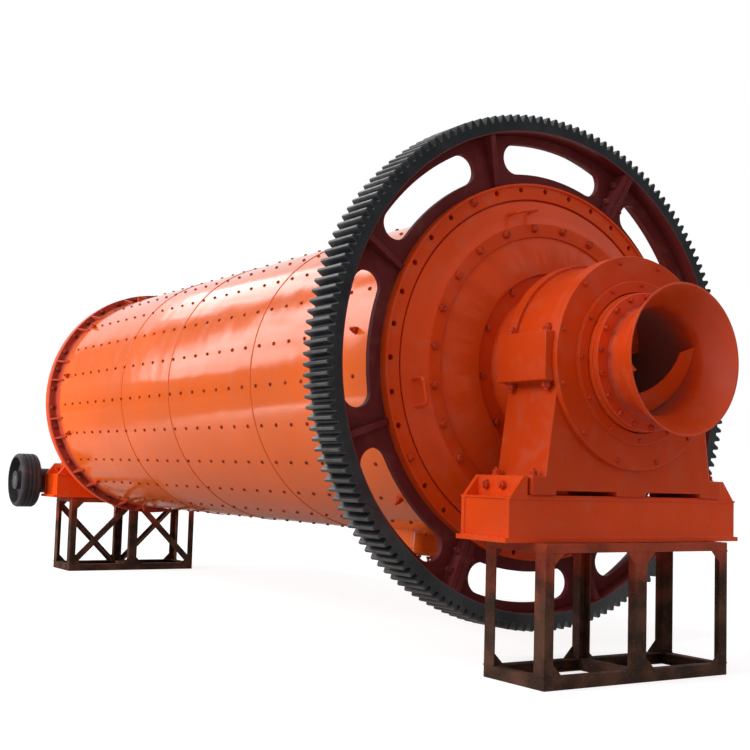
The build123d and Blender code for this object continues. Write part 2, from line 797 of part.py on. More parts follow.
# Stand gussets: corner plates between the posts and the rails, on both long sides
with BuildPart() as stand_gussets:
    with BuildSketch(
        upright(stand_x - STAND_HALF_DEPTH),
        upright(stand_x + STAND_HALF_DEPTH - PLATE_GUSSET_T),
    ):
        for rail_z, up in ((BOTTOM_RAIL_HEIGHT, 1), (top_rail_z, -1)):
            for edge, out in (
                (-STAND_HALF_WIDTH + POST_WIDTH, 1),
                (-MID_POST_WIDTH / 2, -1),
                (MID_POST_WIDTH / 2, 1),
                (STAND_HALF_WIDTH - POST_WIDTH, -1),
            ):
                with BuildLine():
                    Polyline(
                        (edge, rail_z),
                        (edge + out * PLATE_GUSSET, rail_z),
                        (edge, rail_z + up * PLATE_GUSSET),
                        close=True,
                    )
                make_face()
    extrude(amount=PLATE_GUSSET_T)
export_both_ends(stand_gussets, "stand_gussets")

# Feed stand braces: angles across each bay, cut flush with the posts and rails
bay_outer = STAND_HALF_WIDTH - POST_T
bay_inner = MID_POST_WIDTH / 2
bay_width = bay_outer - bay_inner
brace_slope = Vector(0, bay_width, post_height).normalized()
with BuildPart() as feed_stand_braces:
    for face in (-1, 1):
        for bay in (-1, 1):
            rise = -bay * face
            bay_middle = bay * (bay_outer + bay_inner) / 2
            brace_x = -stand_x + face * (STAND_HALF_DEPTH - POST_T)
            direction = Vector(0, rise * brace_slope.Y, brace_slope.Z)
            start = Vector(brace_x, bay_middle, stand_height / 2) - direction * stand_height
            with BuildSketch(Plane(origin=start, x_dir=(-face, 0, 0), z_dir=direction)):
                Rectangle(BRACE_ANGLE, BRACE_T, align=(Align.MIN, Align.CENTER))
                Rectangle(BRACE_T, BRACE_ANGLE, align=(Align.MIN, Align.CENTER))
            extrude(amount=2 * stand_height)
    with BuildSketch(Plane.XY.offset(BOTTOM_RAIL_HEIGHT)):
        with Locations(
            (-stand_x, (bay_outer + bay_inner) / 2),
            (-stand_x, -(bay_outer + bay_inner) / 2),
        ):
            Rectangle(2 * STAND_HALF_DEPTH, bay_width)
    extrude(amount=post_height, mode=Mode.INTERSECT)
export_piece(feed_stand_braces, "feed_stand_braces")

# Belt pulley: a grooved rim on a web and hub, with its shaft in a bracket on the base
housing_r = PULLEY_SHAFT_R + HOUSING_WALL
pulley_standoff = housing_r + HOUSING_CLEARANCE
pulley_hub_r = PULLEY_SHAFT_R + PULLEY_HUB_WALL
pulley_x = -(base_x + BASE_WIDTH + pulley_standoff)
housing_y = HOUSING_SEAT - base_half - HOUSING_LENGTH
pulley_y = housing_y - HOUSING_GAP - PULLEY_WIDTH / 2
pulley_z = base_floor + PULLEY_RISE
pulley_axis = Axis((pulley_x, 0, pulley_z), (0, 1, 0))
pulley_plane = Plane(origin=(pulley_x, pulley_y, pulley_z), x_dir=(0, 1, 0), z_dir=(1, 0, 0))
rim_inner_r = PULLEY_R - PULLEY_RIM_T
with BuildPart() as drive_pulley:
    with BuildSketch(pulley_plane):
        with BuildLine():
            FilletPolyline(
                (-PULLEY_WIDTH / 2, rim_inner_r),
                (-PULLEY_WIDTH / 2, PULLEY_R),
                (PULLEY_WIDTH / 2, PULLEY_R),
                (PULLEY_WIDTH / 2, rim_inner_r),
                (PULLEY_WEB_T / 2, rim_inner_r),
                (PULLEY_WEB_T / 2, pulley_hub_r),
                (PULLEY_WIDTH / 2, pulley_hub_r),
                (PULLEY_WIDTH / 2, PULLEY_SHAFT_R),
                (-PULLEY_WIDTH / 2, PULLEY_SHAFT_R),
                (-PULLEY_WIDTH / 2, pulley_hub_r),
                (-PULLEY_WEB_T / 2, pulley_hub_r),
                (-PULLEY_WEB_T / 2, rim_inner_r),
                radius=[0, PULLEY_ROUND, PULLEY_ROUND, 0, 0, 0, 0, 0, 0, 0, 0, 0],
                close=True,
            )
        make_face()
        with GridLocations(TREAD_PITCH, 0, TREAD_GROOVES, 1):
            with Locations((0, PULLEY_R)):
                Rectangle(TREAD_GROOVE_WIDTH, 2 * TREAD_GROOVE_DEPTH, mode=Mode.SUBTRACT)
    revolve(axis=pulley_axis)
export_piece(drive_pulley, "drive_pulley")

shaft_length = PULLEY_WIDTH + HOUSING_GAP + HOUSING_LENGTH
with BuildPart() as pulley_shaft:
    with BuildSketch(Plane(origin=(pulley_x, pulley_y - PULLEY_WIDTH / 2, pulley_z), z_dir=(0, 1, 0))):
        Circle(PULLEY_SHAFT_R)
    extrude(amount=shaft_length)
export_piece(pulley_shaft, "pulley_shaft")

with BuildPart() as pulley_bracket:
    with BuildSketch(Plane(origin=(pulley_x, housing_y, pulley_z), x_dir=(1, 0, 0), z_dir=(0, 1, 0))):
        Circle(housing_r)
        Rectangle(pulley_standoff, BRACKET_HEIGHT, align=(Align.MIN, Align.CENTER))
        Circle(PULLEY_SHAFT_R + PULLEY_SHAFT_CLEARANCE, mode=Mode.SUBTRACT)
    extrude(amount=HOUSING_LENGTH)
export_piece(pulley_bracket, "pulley_bracket")
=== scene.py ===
import json
from math import cos, radians, sin, sqrt, tau
import bmesh
import bpy
from mathutils import Matrix, Vector

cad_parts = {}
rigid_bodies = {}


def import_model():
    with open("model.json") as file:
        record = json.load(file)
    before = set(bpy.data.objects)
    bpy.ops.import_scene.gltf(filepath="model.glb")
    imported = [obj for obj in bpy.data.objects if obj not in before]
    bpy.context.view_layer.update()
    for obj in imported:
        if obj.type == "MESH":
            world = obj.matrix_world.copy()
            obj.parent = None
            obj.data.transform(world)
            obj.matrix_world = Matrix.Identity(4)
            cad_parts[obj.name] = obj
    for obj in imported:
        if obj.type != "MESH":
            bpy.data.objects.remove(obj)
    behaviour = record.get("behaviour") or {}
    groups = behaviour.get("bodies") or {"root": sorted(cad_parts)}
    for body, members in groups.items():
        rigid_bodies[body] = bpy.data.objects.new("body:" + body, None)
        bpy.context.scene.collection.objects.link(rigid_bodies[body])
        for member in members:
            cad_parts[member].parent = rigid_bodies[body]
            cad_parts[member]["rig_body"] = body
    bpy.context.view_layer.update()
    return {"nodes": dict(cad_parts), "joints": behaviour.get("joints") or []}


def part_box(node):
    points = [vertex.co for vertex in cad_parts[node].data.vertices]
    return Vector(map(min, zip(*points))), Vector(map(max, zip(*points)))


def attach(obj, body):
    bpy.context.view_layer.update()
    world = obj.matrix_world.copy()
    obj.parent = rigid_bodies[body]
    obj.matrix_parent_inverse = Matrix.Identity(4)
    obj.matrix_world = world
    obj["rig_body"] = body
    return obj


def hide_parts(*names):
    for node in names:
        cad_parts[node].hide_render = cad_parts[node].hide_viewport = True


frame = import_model()


# Floor stands: two welded frames of rolled channel and angle that stand loose on the floor.
# Plain steel, brown with rust, with orange drift from the spray gun on their upper part.
# Rails and posts are stick welded at each corner.

class Wire:
    """One socket of a node tree. Sums and products of wires put Math nodes into that tree."""

    def __init__(self, tree, socket):
        self.tree = tree
        self.socket = socket

    def node(self, kind, settings, inputs, output=0):
        """Adds a node: its settings, then values or links for its sockets. Gives one output."""
        made = self.tree.nodes.new(kind)
        for name, value in settings.items():
            setattr(made, name, value)
        for name, value in inputs.items():
            socket = next(s for s in made.inputs if name in (s.identifier, s.name))
            for part in value if isinstance(value, list) else [value]:
                if isinstance(part, Wire):
                    self.tree.links.new(part.socket, socket)
                else:
                    socket.default_value = part
        return Wire(self.tree, made.outputs[output])

    def math(self, operation, first, second):
        return self.node("ShaderNodeMath", {"operation": operation},
                         {"Value": first, "Value_001": second})

    def __add__(self, other):
        return self.math("ADD", self, other)

    def __radd__(self, other):
        return self.math("ADD", other, self)

    def __sub__(self, other):
        return self.math("SUBTRACT", self, other)

    def __rsub__(self, other):
        return self.math("SUBTRACT", other, self)

    def __mul__(self, other):
        return self.math("MULTIPLY", self, other)

    def __rmul__(self, other):
        return self.math("MULTIPLY", other, self)

    def centred(self):
        """Values from 0 to 1 moved to lie evenly about 0."""
        return self - 0.5

    def step(self, low, high):
        """0 up to low and 1 from high on, eased between them."""
        return self.node("ShaderNodeMapRange", {"interpolation_type": "SMOOTHSTEP"},
                         {"Value": self, "From Min": low, "From Max": high})

    def noise(self, scale, detail, distortion=0.0):
        """Cloudy values from 0 to 1 over the points that this wire carries."""
        return self.node("ShaderNodeTexNoise", {}, {
            "Vector": self, "Scale": scale, "Detail": detail, "Distortion": distortion})

    def tint(self, under, over):
        """The colour under where this wire is 0, and the colour over where it is 1."""
        return self.node("ShaderNodeMix", {"data_type": "RGBA"},
                         {"Factor_Float": self, "A_Color": under, "B_Color": over}, 2)

    def axis(self, letter):
        """The X, Y or Z of the points that this wire carries."""
        return self.node("ShaderNodeSeparateXYZ", {}, {"Vector": self}, letter)


def begin_finish(name):
    """A new material, and the wire that carries the points of the piece it lies on."""
    material = bpy.data.materials.new(name)
    material.use_nodes = True
    tree = material.node_tree
    return material, Wire(tree, tree.nodes.new("ShaderNodeTexCoord").outputs["Object"])


def end_finish(material, colour, roughness, relief, metallic=0.0, sheen=0.5):
    """Joins colour, roughness and a relief in metres to a shader; sheen is how much it mirrors."""
    shader = material.node_tree.nodes["Principled BSDF"]
    bump = relief.node("ShaderNodeBump", {}, {"Height": relief, "Distance": 1.0})
    for name, wire in (("Base Color", colour), ("Roughness", roughness), ("Normal", bump)):
        material.node_tree.links.new(wire.socket, shader.inputs[name])
    shader.inputs["Metallic"].default_value = metallic
    shader.inputs["Specular IOR Level"].default_value = sheen
    return material


def make_plain(piece):
    """Turns what the modifiers of a piece give into its own mesh."""
    graph = bpy.context.evaluated_depsgraph_get()
    mesh = bpy.data.meshes.new_from_object(piece.evaluated_get(graph), depsgraph=graph)
    piece.modifiers.clear()
    piece.data = mesh


WELD_DISTANCE = 0.00002
FLAT_ANGLE = radians(0.3)
CORNER_ANGLE = radians(28.0)
CORNER_STEPS = 2
NO_SEAM = -1.0
SEAM_DEPTH = 0.002


def ease_edges(node, width, finish, seam_z=NO_SEAM):
    """A copy of a piece with its corners rounded to that width, but for those in a seam's plane."""
    source = frame["nodes"][node]
    shape = bmesh.new()
    shape.from_mesh(source.data)
    bmesh.ops.remove_doubles(shape, verts=shape.verts, dist=WELD_DISTANCE)
    bmesh.ops.dissolve_limit(shape, angle_limit=FLAT_ANGLE, verts=shape.verts, edges=shape.edges)
    for face in shape.faces:
        face.smooth = True
    rounding = shape.edges.layers.float.new("bevel_weight_edge")
    for edge in shape.edges:
        edge.smooth = len(edge.link_faces) == 2 and edge.calc_face_angle() < CORNER_ANGLE
        in_seam = all(abs(v.co.z - seam_z) < SEAM_DEPTH for v in edge.verts)
        edge[rounding] = 0.0 if edge.smooth or in_seam else 1.0
    mesh = bpy.data.meshes.new(f"{node}_eased")
    shape.to_mesh(mesh)
    shape.free()
    if "custom_normal" in mesh.attributes:
        mesh.attributes.remove(mesh.attributes["custom_normal"])
    piece = bpy.data.objects.new(mesh.name, mesh)
    bpy.context.collection.objects.link(piece)
    mesh.materials.clear()
    mesh.materials.append(finish)
    corners = piece.modifiers.new("corners", "BEVEL")
    corners.width = width
    corners.segments = CORNER_STEPS
    corners.limit_method = "WEIGHT"
    corners.miter_outer = "MITER_ARC"
    flats = piece.modifiers.new("flats", "WEIGHTED_NORMAL")
    flats.keep_sharp = True
    make_plain(piece)
    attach(piece, source["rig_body"])
    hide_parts(node)
    return piece


RUST_DARK = (0.028, 0.012, 0.007, 1.0)
RUST_LIGHT = (0.090, 0.036, 0.019, 1.0)
RUST_SPECK = (0.170, 0.066, 0.030, 1.0)
SPRAY_DRIFT = (0.460, 0.052, 0.014, 1.0)
RUST_BLOTCHES = (6.0, 6)
RUST_GRAIN = (70.0, 3)
RUST_CLOUDS = (2.3, 3)
LIGHT_RUST_SPAN = (0.36, 0.66)
SPECK_SPAN = (0.58, 0.74)
SPECK_COVER = 0.6
DRIFT_CLOUDING = 0.55
DRIFT_BLOTCHING = 0.50
DRIFT_SPAN = (0.46, 0.94)
DRIFT_GRAIN_SPAN = (0.34, 0.60)
DRIFT_THIN = 0.72
DRIFT_COVER = 0.9
RUST_ROUGH = 0.82
DRIFT_SMOOTHS = 0.3
BLOTCH_SMOOTHS = 0.14
GRAIN_PITS = 0.6
RUST_RELIEF = 0.0011
RUST_SHEEN = 0.22


def rusty_steel():
    """Rolled steel left to rust, with a drift of orange spray near its top."""
    material, place = begin_finish("rusty_stand_steel")
    blotch = place.noise(*RUST_BLOTCHES)
    grain = place.noise(*RUST_GRAIN)
    cloud = place.noise(*RUST_CLOUDS)
    rust = blotch.step(*LIGHT_RUST_SPAN).tint(RUST_DARK, RUST_LIGHT)
    rust = (grain.step(*SPECK_SPAN) * SPECK_COVER).tint(rust, RUST_SPECK)
    height = place.axis("Z") + cloud.centred() * DRIFT_CLOUDING
    height = height + blotch.centred() * DRIFT_BLOTCHING
    cover = DRIFT_THIN + (1.0 - DRIFT_THIN) * grain.step(*DRIFT_GRAIN_SPAN)
    drift = height.step(*DRIFT_SPAN) * cover
    colour = (drift * DRIFT_COVER).tint(rust, SPRAY_DRIFT)
    rough = RUST_ROUGH - DRIFT_SMOOTHS * drift - BLOTCH_SMOOTHS * blotch
    relief = (blotch - grain * GRAIN_PITS) * RUST_RELIEF
    return end_finish(material, colour, rough, relief, 0.0, RUST_SHEEN)


def begin_tree(name, inputs):
    """A Geometry Nodes tree with these inputs, each a name and a kind, and a wire from each."""
    tree = bpy.data.node_groups.new(name, "GeometryNodeTree")
    for label, kind in inputs.items():
        tree.interface.new_socket(label, in_out="INPUT", socket_type=f"NodeSocket{kind}")
    tree.interface.new_socket("Shape", in_out="OUTPUT", socket_type="NodeSocketGeometry")
    start = tree.nodes.new("NodeGroupInput")
    return tree, {s.name: Wire(tree, s) for s in start.outputs if s.name}


def end_tree(shape, finish):
    """Gives a tree's shape its material and sends it out as real geometry."""
    shape = shape.node("GeometryNodeRealizeInstances", {}, {"Geometry": shape})
    shape = shape.node("GeometryNodeSetMaterial", {}, {"Geometry": shape, "Material": finish})
    shape.tree.links.new(shape.socket, shape.tree.nodes.new("NodeGroupOutput").inputs[0])


BEAD_SIDES = 6
BEAD_RIPPLES = (26.0, 2)
BEAD_LEAST = 0.72
BEAD_SWING = 0.56
BEAD_PITCH = 2.2
weld_tree, weld_in = begin_tree("weld_bead", {
    "Path": "Geometry", "Bead radius": "Float", "Ripple length": "Float", "Finish": "Material"})
weld_path = weld_in["Path"].node("GeometryNodeMeshToCurve", {}, {"Mesh": weld_in["Path"]})
weld_path = weld_path.node("GeometryNodeResampleCurve", {"mode": "LENGTH"},
                           {"Curve": weld_path, "Length": weld_in["Ripple length"]})
weld_section = weld_path.node("GeometryNodeCurvePrimitiveCircle", {},
                              {"Resolution": BEAD_SIDES, "Radius": weld_in["Bead radius"]})
weld_point = weld_path.node("GeometryNodeInputPosition", {}, {})
weld_ripple = BEAD_LEAST + BEAD_SWING * weld_point.noise(*BEAD_RIPPLES)
weld_mesh = weld_path.node("GeometryNodeCurveToMesh", {}, {
    "Curve": weld_path, "Profile Curve": weld_section, "Scale": weld_ripple, "Fill Caps": True})
end_tree(weld_mesh, weld_in["Finish"])


def grow(name, mesh, tree, inputs, body):
    """One plain mesh from a start mesh and a Geometry Nodes tree with these named inputs."""
    piece = bpy.data.objects.new(name, mesh)
    bpy.context.collection.objects.link(piece)
    nodes = piece.modifiers.new("grow", "NODES")
    nodes.node_group = tree
    for item in tree.interface.items_tree:
        if item.in_out == "INPUT" and item.name in inputs:
            nodes[item.identifier] = inputs[item.name]
    make_plain(piece)
    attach(piece, body)
    return piece


def lay_welds(name, paths, radius, finish, body):
    """Weld beads along paths of points; a path that ends where it starts is closed."""
    points, edges = [], []
    for path in paths:
        first = len(points)
        closed = (path[0] - path[-1]).length < WELD_DISTANCE
        run = path[:-1] if closed else path
        points += run
        edges += [(first + i, first + i + 1) for i in range(len(run) - 1)]
        if closed:
            edges.append((first + len(run) - 1, first))
    mesh = bpy.data.meshes.new(name)
    mesh.from_pydata(points, edges, [])
    inputs = {"Bead radius": radius, "Ripple length": radius * BEAD_PITCH, "Finish": finish}
    return grow(name, mesh, weld_tree, inputs, body)


STAND_EDGE = 0.003
STAND_WELD = 0.0045
POST_LENGTH = 0.100
POST_WIDTH = 0.070
stand_finish = rusty_steel()
ends = {"discharge": 1, "feed": -1}
for end in ends:
    for part in ("bottom_rails", "top_rails", "posts", "gussets"):
        ease_edges(f"{end}_stand_{part}", STAND_EDGE, stand_finish)
    posts_low, posts_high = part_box(f"{end}_stand_posts")
    stand_welds = []
    for x, along in ((posts_low[0], 1), (posts_high[0], -1)):
        for y, across in ((posts_low[1], 1), (posts_high[1], -1)):
            for z in (posts_low[2], posts_high[2]):
                stand_welds.append([Vector((x + along * POST_LENGTH, y, z)), Vector((x, y, z)),
                                    Vector((x, y + across * POST_WIDTH, z))])
    lay_welds(f"{end}_stand_welds", stand_welds, STAND_WELD, stand_finish,
              "supports")
ease_edges("feed_stand_braces", STAND_EDGE, stand_finish)


# Bearing bases: welded plate boxes with a bottom plate, end ears and stop plates.
# Sprayed orange like the bearings; jack bolts through the stop plates set the bearing's place.

PRIMER_RED = (0.115, 0.016, 0.012, 1.0)
DUST = (0.420, 0.215, 0.140, 1.0)
COAT_CLOUDS = (0.8, 3)
COAT_SPAN = (0.32, 0.68)
THIN_COAT = 0.86
FULL_COAT = 1.04
DUST_CLOUDS = (6.5, 5, 0.4)
DUST_SPAN = (0.46, 0.80)
DUST_COVER = 0.13
DULL_SPAN = (0.40, 0.85)
DUST_DULLS = 0.22
ORANGE_PEEL = (170.0, 2)
PEEL_HEIGHT = 0.00012
PLATE_DENTS = (1.9, 1)
CHIP_SPOTS = (46.0, 4)
CHIP_SPAN = (0.73, 0.745)
CHIPPED_SPAN = (0.54, 0.64)
CHIP_DEPTH = 0.0004
CHIP_DULLS = 0.25
ENAMEL_SHEEN = 0.17


def shade(paint, share):
    """A paint made darker or lighter by that share."""
    return (*(share * c for c in paint), 1.0)


def enamel(name, paint, gloss, swell, sheen=ENAMEL_SHEEN):
    """Sprayed enamel: uneven coat, orange peel, dust and chips. Swell is the plate's waviness."""
    material, place = begin_finish(name)
    coat = place.noise(*COAT_CLOUDS).step(*COAT_SPAN)
    dust = place.noise(*DUST_CLOUDS)
    chips = place.noise(*CHIP_SPOTS).step(*CHIP_SPAN) * dust.step(*CHIPPED_SPAN)
    colour = coat.tint(shade(paint, THIN_COAT), shade(paint, FULL_COAT))
    colour = (dust.step(*DUST_SPAN) * DUST_COVER).tint(colour, DUST)
    colour = chips.tint(colour, PRIMER_RED)
    rough = gloss + DUST_DULLS * dust.step(*DULL_SPAN) + CHIP_DULLS * chips
    relief = place.noise(*PLATE_DENTS) * swell + place.noise(*ORANGE_PEEL) * PEEL_HEIGHT
    return end_finish(material, colour, rough, relief - chips * CHIP_DEPTH, 0.0, sheen)


HEX_SIDES = 6
STUD_SIDES = 10
WASHER_SIDES = 14
FLANK_FOOT = 0.9
FLANK_SHARE = 0.78
CROWN_SHARE = 0.22
CROWN_TAPER = 0.8
STUD_SHARE = 0.31
STUD_TAPER = 0.92
WASHER_FOOT = 1.16
WASHER_TOP = 1.12
bolt_tree, bolt_in = begin_tree("hex_bolts", {
    "Seats": "Geometry", "Across flats": "Float", "Head height": "Float",
    "Washer height": "Float", "Stud length": "Float", "Seed": "Int", "Finish": "Material"})
seat = bolt_in["Seats"]
corner_radius = bolt_in["Across flats"] * (1.0 / sqrt(3.0))


def turned(sides, bottom, top, height, lift, open_end=None):
    """A prism or cone of the bolt tree, its base at that lift, open at its Top or Bottom."""
    prism = seat.node("GeometryNodeMeshCone", {"fill_type": "NGON"}, {
        "Vertices": sides, "Radius Top": top, "Radius Bottom": bottom, "Depth": height})
    if open_end:
        cap = Wire(bolt_tree, prism.socket.node.outputs[open_end])
        prism = seat.node("GeometryNodeDeleteGeometry", {"domain": "FACE"},
                          {"Geometry": prism, "Selection": cap})
    return seat.node("GeometryNodeTransform", {}, {
        "Geometry": prism, "Translation": seat.node("ShaderNodeCombineXYZ", {}, {"Z": lift})})


flank_foot = bolt_in["Washer height"] * FLANK_FOOT
flank_height = bolt_in["Head height"] * FLANK_SHARE
crown_height = bolt_in["Head height"] * CROWN_SHARE
crown_foot = flank_foot + flank_height
crown_radius = corner_radius * CROWN_TAPER
stud_radius = bolt_in["Across flats"] * STUD_SHARE
hexagon = seat.node("GeometryNodeJoinGeometry", {}, {"Geometry": [
    turned(HEX_SIDES, corner_radius, corner_radius, flank_height, flank_foot, "Top"),
    turned(HEX_SIDES, corner_radius, crown_radius, crown_height, crown_foot, "Bottom")]})
hexagon = seat.node("GeometryNodeMergeByDistance", {},
                    {"Geometry": hexagon, "Distance": WELD_DISTANCE})
stud = turned(STUD_SIDES, stud_radius, stud_radius * STUD_TAPER,
              bolt_in["Stud length"], flank_foot)
bolt_shape = seat.node("GeometryNodeJoinGeometry", {}, {"Geometry": [
    turned(WASHER_SIDES, corner_radius * WASHER_FOOT, corner_radius * WASHER_TOP,
           bolt_in["Washer height"], 0.0),
    hexagon,
    seat.node("GeometryNodeSwitch", {"input_type": "GEOMETRY"}, {
        "Switch": seat.math("GREATER_THAN", bolt_in["Stud length"], 0.0), "True": stud})]})
bolt_facing = seat.node("GeometryNodeInputNamedAttribute", {"data_type": "FLOAT_VECTOR"},
                        {"Name": "facing"})
bolt_turn = seat.node("FunctionNodeAlignRotationToVector", {"axis": "Z"}, {"Vector": bolt_facing})
bolt_spin = seat.node("FunctionNodeRandomValue", {"data_type": "FLOAT"},
                      {"Min_001": 0.0, "Max_001": tau, "Seed": bolt_in["Seed"]}, 1)
bolt_spin = seat.node("FunctionNodeAxisAngleToRotation", {},
                      {"Axis": (0.0, 0.0, 1.0), "Angle": bolt_spin})
bolt_turn = seat.node("FunctionNodeRotateRotation", {"rotation_space": "LOCAL"},
                      {"Rotation": bolt_turn, "Rotate By": bolt_spin})
bolt_set = seat.node("GeometryNodeInstanceOnPoints", {},
                     {"Points": seat, "Instance": bolt_shape, "Rotation": bolt_turn})
end_tree(bolt_set, bolt_in["Finish"])


def set_bolts(name, seats, size, finish, body):
    """Hexagon bolts on seats, each a point and the way that its head faces.

    Their size is the width across flats, the heights of head and washer, and the stud's length.
    """
    mesh = bpy.data.meshes.new(name)
    mesh.from_pydata([point for point, facing in seats], [], [])
    facings = mesh.attributes.new("facing", "FLOAT_VECTOR", "POINT")
    facings.data.foreach_set("vector", [value for point, facing in seats for value in facing])
    inputs = dict(zip(("Across flats", "Head height", "Washer height", "Stud length"), size))
    inputs.update({"Seed": len(seats), "Finish": finish})
    return grow(name, mesh, bolt_tree, inputs, body)


BOLT_RED = (0.580, 0.052, 0.010, 1.0)
BOLT_BROWN = (0.300, 0.031, 0.011, 1.0)
BOLT_RUST = (34.0, 4)
BOLT_RUST_SPAN = (0.42, 0.70)
BOLT_ROUGH = 0.42
BOLT_RUST_DULLS = 0.3
BOLT_RELIEF = 0.0004
BOLT_SHEEN = 0.14


def painted_bolt():
    """Bolt heads under the same spray, redder and dulled by grease and brown rust."""
    material, place = begin_finish("painted_bolts")
    rust = place.noise(*BOLT_RUST)
    colour = rust.step(*BOLT_RUST_SPAN).tint(BOLT_RED, BOLT_BROWN)
    return end_finish(material, colour, BOLT_ROUGH + BOLT_RUST_DULLS * rust, rust * BOLT_RELIEF,
                      0.0, BOLT_SHEEN)


BASE_ORANGE = (0.800, 0.068, 0.006)
BASE_GLOSS = 0.26
BASE_SWELL = 0.0012
BASE_EDGE = 0.0025
SHOULDER_Z = 1.137
STOP_PLATE_Y = 0.874
JACK_BOLT = (0.046, 0.024, 0.004, 0.034)
JACK_BOLT_Z = 1.206
JACK_BOLT_OFFSETS = (-0.118, 0.044)
BASE_WELD = 0.004
BASE_LIP = 0.008
BASE_FLOOR_Z = 0.893
BASE_HALF_LENGTH = 0.983
base_finish = enamel("base_enamel", BASE_ORANGE, BASE_GLOSS, BASE_SWELL)
bolt_finish = painted_bolt()
for end, sign in ends.items():
    ease_edges(f"{end}_bearing_base", BASE_EDGE, base_finish, SHOULDER_Z)
    base_low, base_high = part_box(f"{end}_bearing_base")
    base_middle = (base_low[0] + base_high[0]) / 2
    jack_seats = [
        (Vector((base_middle + sign * offset, side * STOP_PLATE_Y, JACK_BOLT_Z)), (0, side, 0))
        for side in (-1, 1) for offset in JACK_BOLT_OFFSETS]
    set_bolts(f"{end}_jack_bolts", jack_seats, JACK_BOLT, bolt_finish, "supports")
    foot_x = (base_low[0] + BASE_LIP, base_high[0] - BASE_LIP)
    foot_line = [Vector((foot_x[i], j * BASE_HALF_LENGTH, BASE_FLOOR_Z))
                 for i, j in ((0, -1), (1, -1), (1, 1), (0, 1), (0, -1))]
    lay_welds(f"{end}_base_welds", [foot_line], BASE_WELD, base_finish, "supports")


# Bearing pedestals and caps: iron castings split at the mill axis, with rounded corners.
# Orange enamel over sand-cast skin. Lug bolts hold the cap down, studs hold the sole to its base.

BEARING_ORANGE = (0.655, 0.054, 0.005)
CASTING_GLOSS = 0.30
CASTING_SWELL = 0.0022
CASTING_EDGE = 0.008
CAP_EDGE = 0.005
LUG_BOLT = (0.054, 0.032, 0.008, 0.046)
LUG_BOLT_Y = 0.672
LUG_HALF_HEIGHT = 0.154
LUG_BOLT_OFFSET = 0.172
SOLE_STUD = (0.048, 0.028, 0.007, 0.044)
SOLE_TOP_Z = 1.265
SOLE_STUD_Y = 0.772
SOLE_STUD_OFFSET = 0.176
axis_z = frame["joints"][0]["pos_m"][2]
casting_finish = enamel("casting_enamel", BEARING_ORANGE, CASTING_GLOSS, CASTING_SWELL)
for end in ends:
    ease_edges(f"{end}_pedestal", CASTING_EDGE, casting_finish, axis_z)
    ease_edges(f"{end}_bearing_cap", CAP_EDGE, casting_finish, axis_z)
    bearing_low, bearing_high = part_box(f"{end}_pedestal")
    bearing_x = (bearing_low[0] + bearing_high[0]) / 2
    lug_seats, stud_seats = [], []
    for side in (-1, 1):
        for along in (-1, 1):
            lug_x = bearing_x + along * LUG_BOLT_OFFSET
            for up in (-1, 1):
                lug_spot = Vector((lug_x, side * LUG_BOLT_Y, axis_z + up * LUG_HALF_HEIGHT))
                lug_seats.append((lug_spot, (0, 0, up)))
            stud_x = bearing_x + along * SOLE_STUD_OFFSET
            stud_seats.append((Vector((stud_x, side * SOLE_STUD_Y, SOLE_TOP_Z)), (0, 0, 1)))
    set_bolts(f"{end}_lug_bolts", lug_seats, LUG_BOLT, bolt_finish, "supports")
    set_bolts(f"{end}_sole_studs", stud_seats, SOLE_STUD, bolt_finish, "supports")


# Bearing seals: turned rings with a felt behind them, screwed to both faces of each bearing.
# Orange enamel; the outer one has a plate and a narrower ring, each with a circle of screws.

SEAL_EDGE = 0.003
SEAL_SCREWS = 12
PLATE_SCREW = (0.027, 0.013, 0.003, 0.0)
PLATE_SCREW_R = 0.652
PLATE_SCREW_FIRST = 15.0
PLATE_FACE_X = 4.485
RING_SCREW = (0.024, 0.012, 0.002, 0.0)
RING_SCREW_R = 0.500
RING_SCREW_FIRST = 0.0
RING_FACE_X = 4.507
LEAN_LIMIT = 0.2


def round_axis(radius, count, first, x, sign):
    """Seats evenly spaced on a circle about the mill axis, facing away from the drum."""
    turns = [radians(first) + tau * i / count for i in range(count)]
    return [(Vector((sign * x, radius * cos(t), axis_z + radius * sin(t))), (sign, 0, 0))
            for t in turns]


def true_turning(piece):
    """Takes the small sideways lean out of the normals of a piece turned about the mill axis."""
    normals = []
    for loop in piece.data.loops:
        spot = piece.data.vertices[loop.vertex_index].co
        around = Vector((0.0, axis_z - spot.z, spot.y)).normalized()
        normal = piece.data.corner_normals[loop.index].vector.copy()
        lean = normal.dot(around)
        upright_normal = (normal - around * lean).normalized()
        normals.append(upright_normal if abs(lean) < LEAN_LIMIT else normal)
    piece.data.normals_split_custom_set(normals)


for end, sign in ends.items():
    true_turning(ease_edges(f"{end}_outer_seal", SEAL_EDGE, casting_finish))
    true_turning(ease_edges(f"{end}_inner_seal", SEAL_EDGE, casting_finish))
    plate_seats = round_axis(PLATE_SCREW_R, SEAL_SCREWS, PLATE_SCREW_FIRST, PLATE_FACE_X, sign)
    set_bolts(f"{end}_plate_screws", plate_seats, PLATE_SCREW, bolt_finish,
              "supports")
    ring_seats = round_axis(RING_SCREW_R, SEAL_SCREWS, RING_SCREW_FIRST, RING_FACE_X, sign)
    set_bolts(f"{end}_ring_screws", ring_seats, RING_SCREW, bolt_finish, "supports")


# Drum shell: rolled plate courses, butt welded into one long tube.
# Glossy orange enamel over slightly wavy plate, dull red beside the feed flange.
# Rows of dark liner bolts go through it, with some long nuts at its ends.

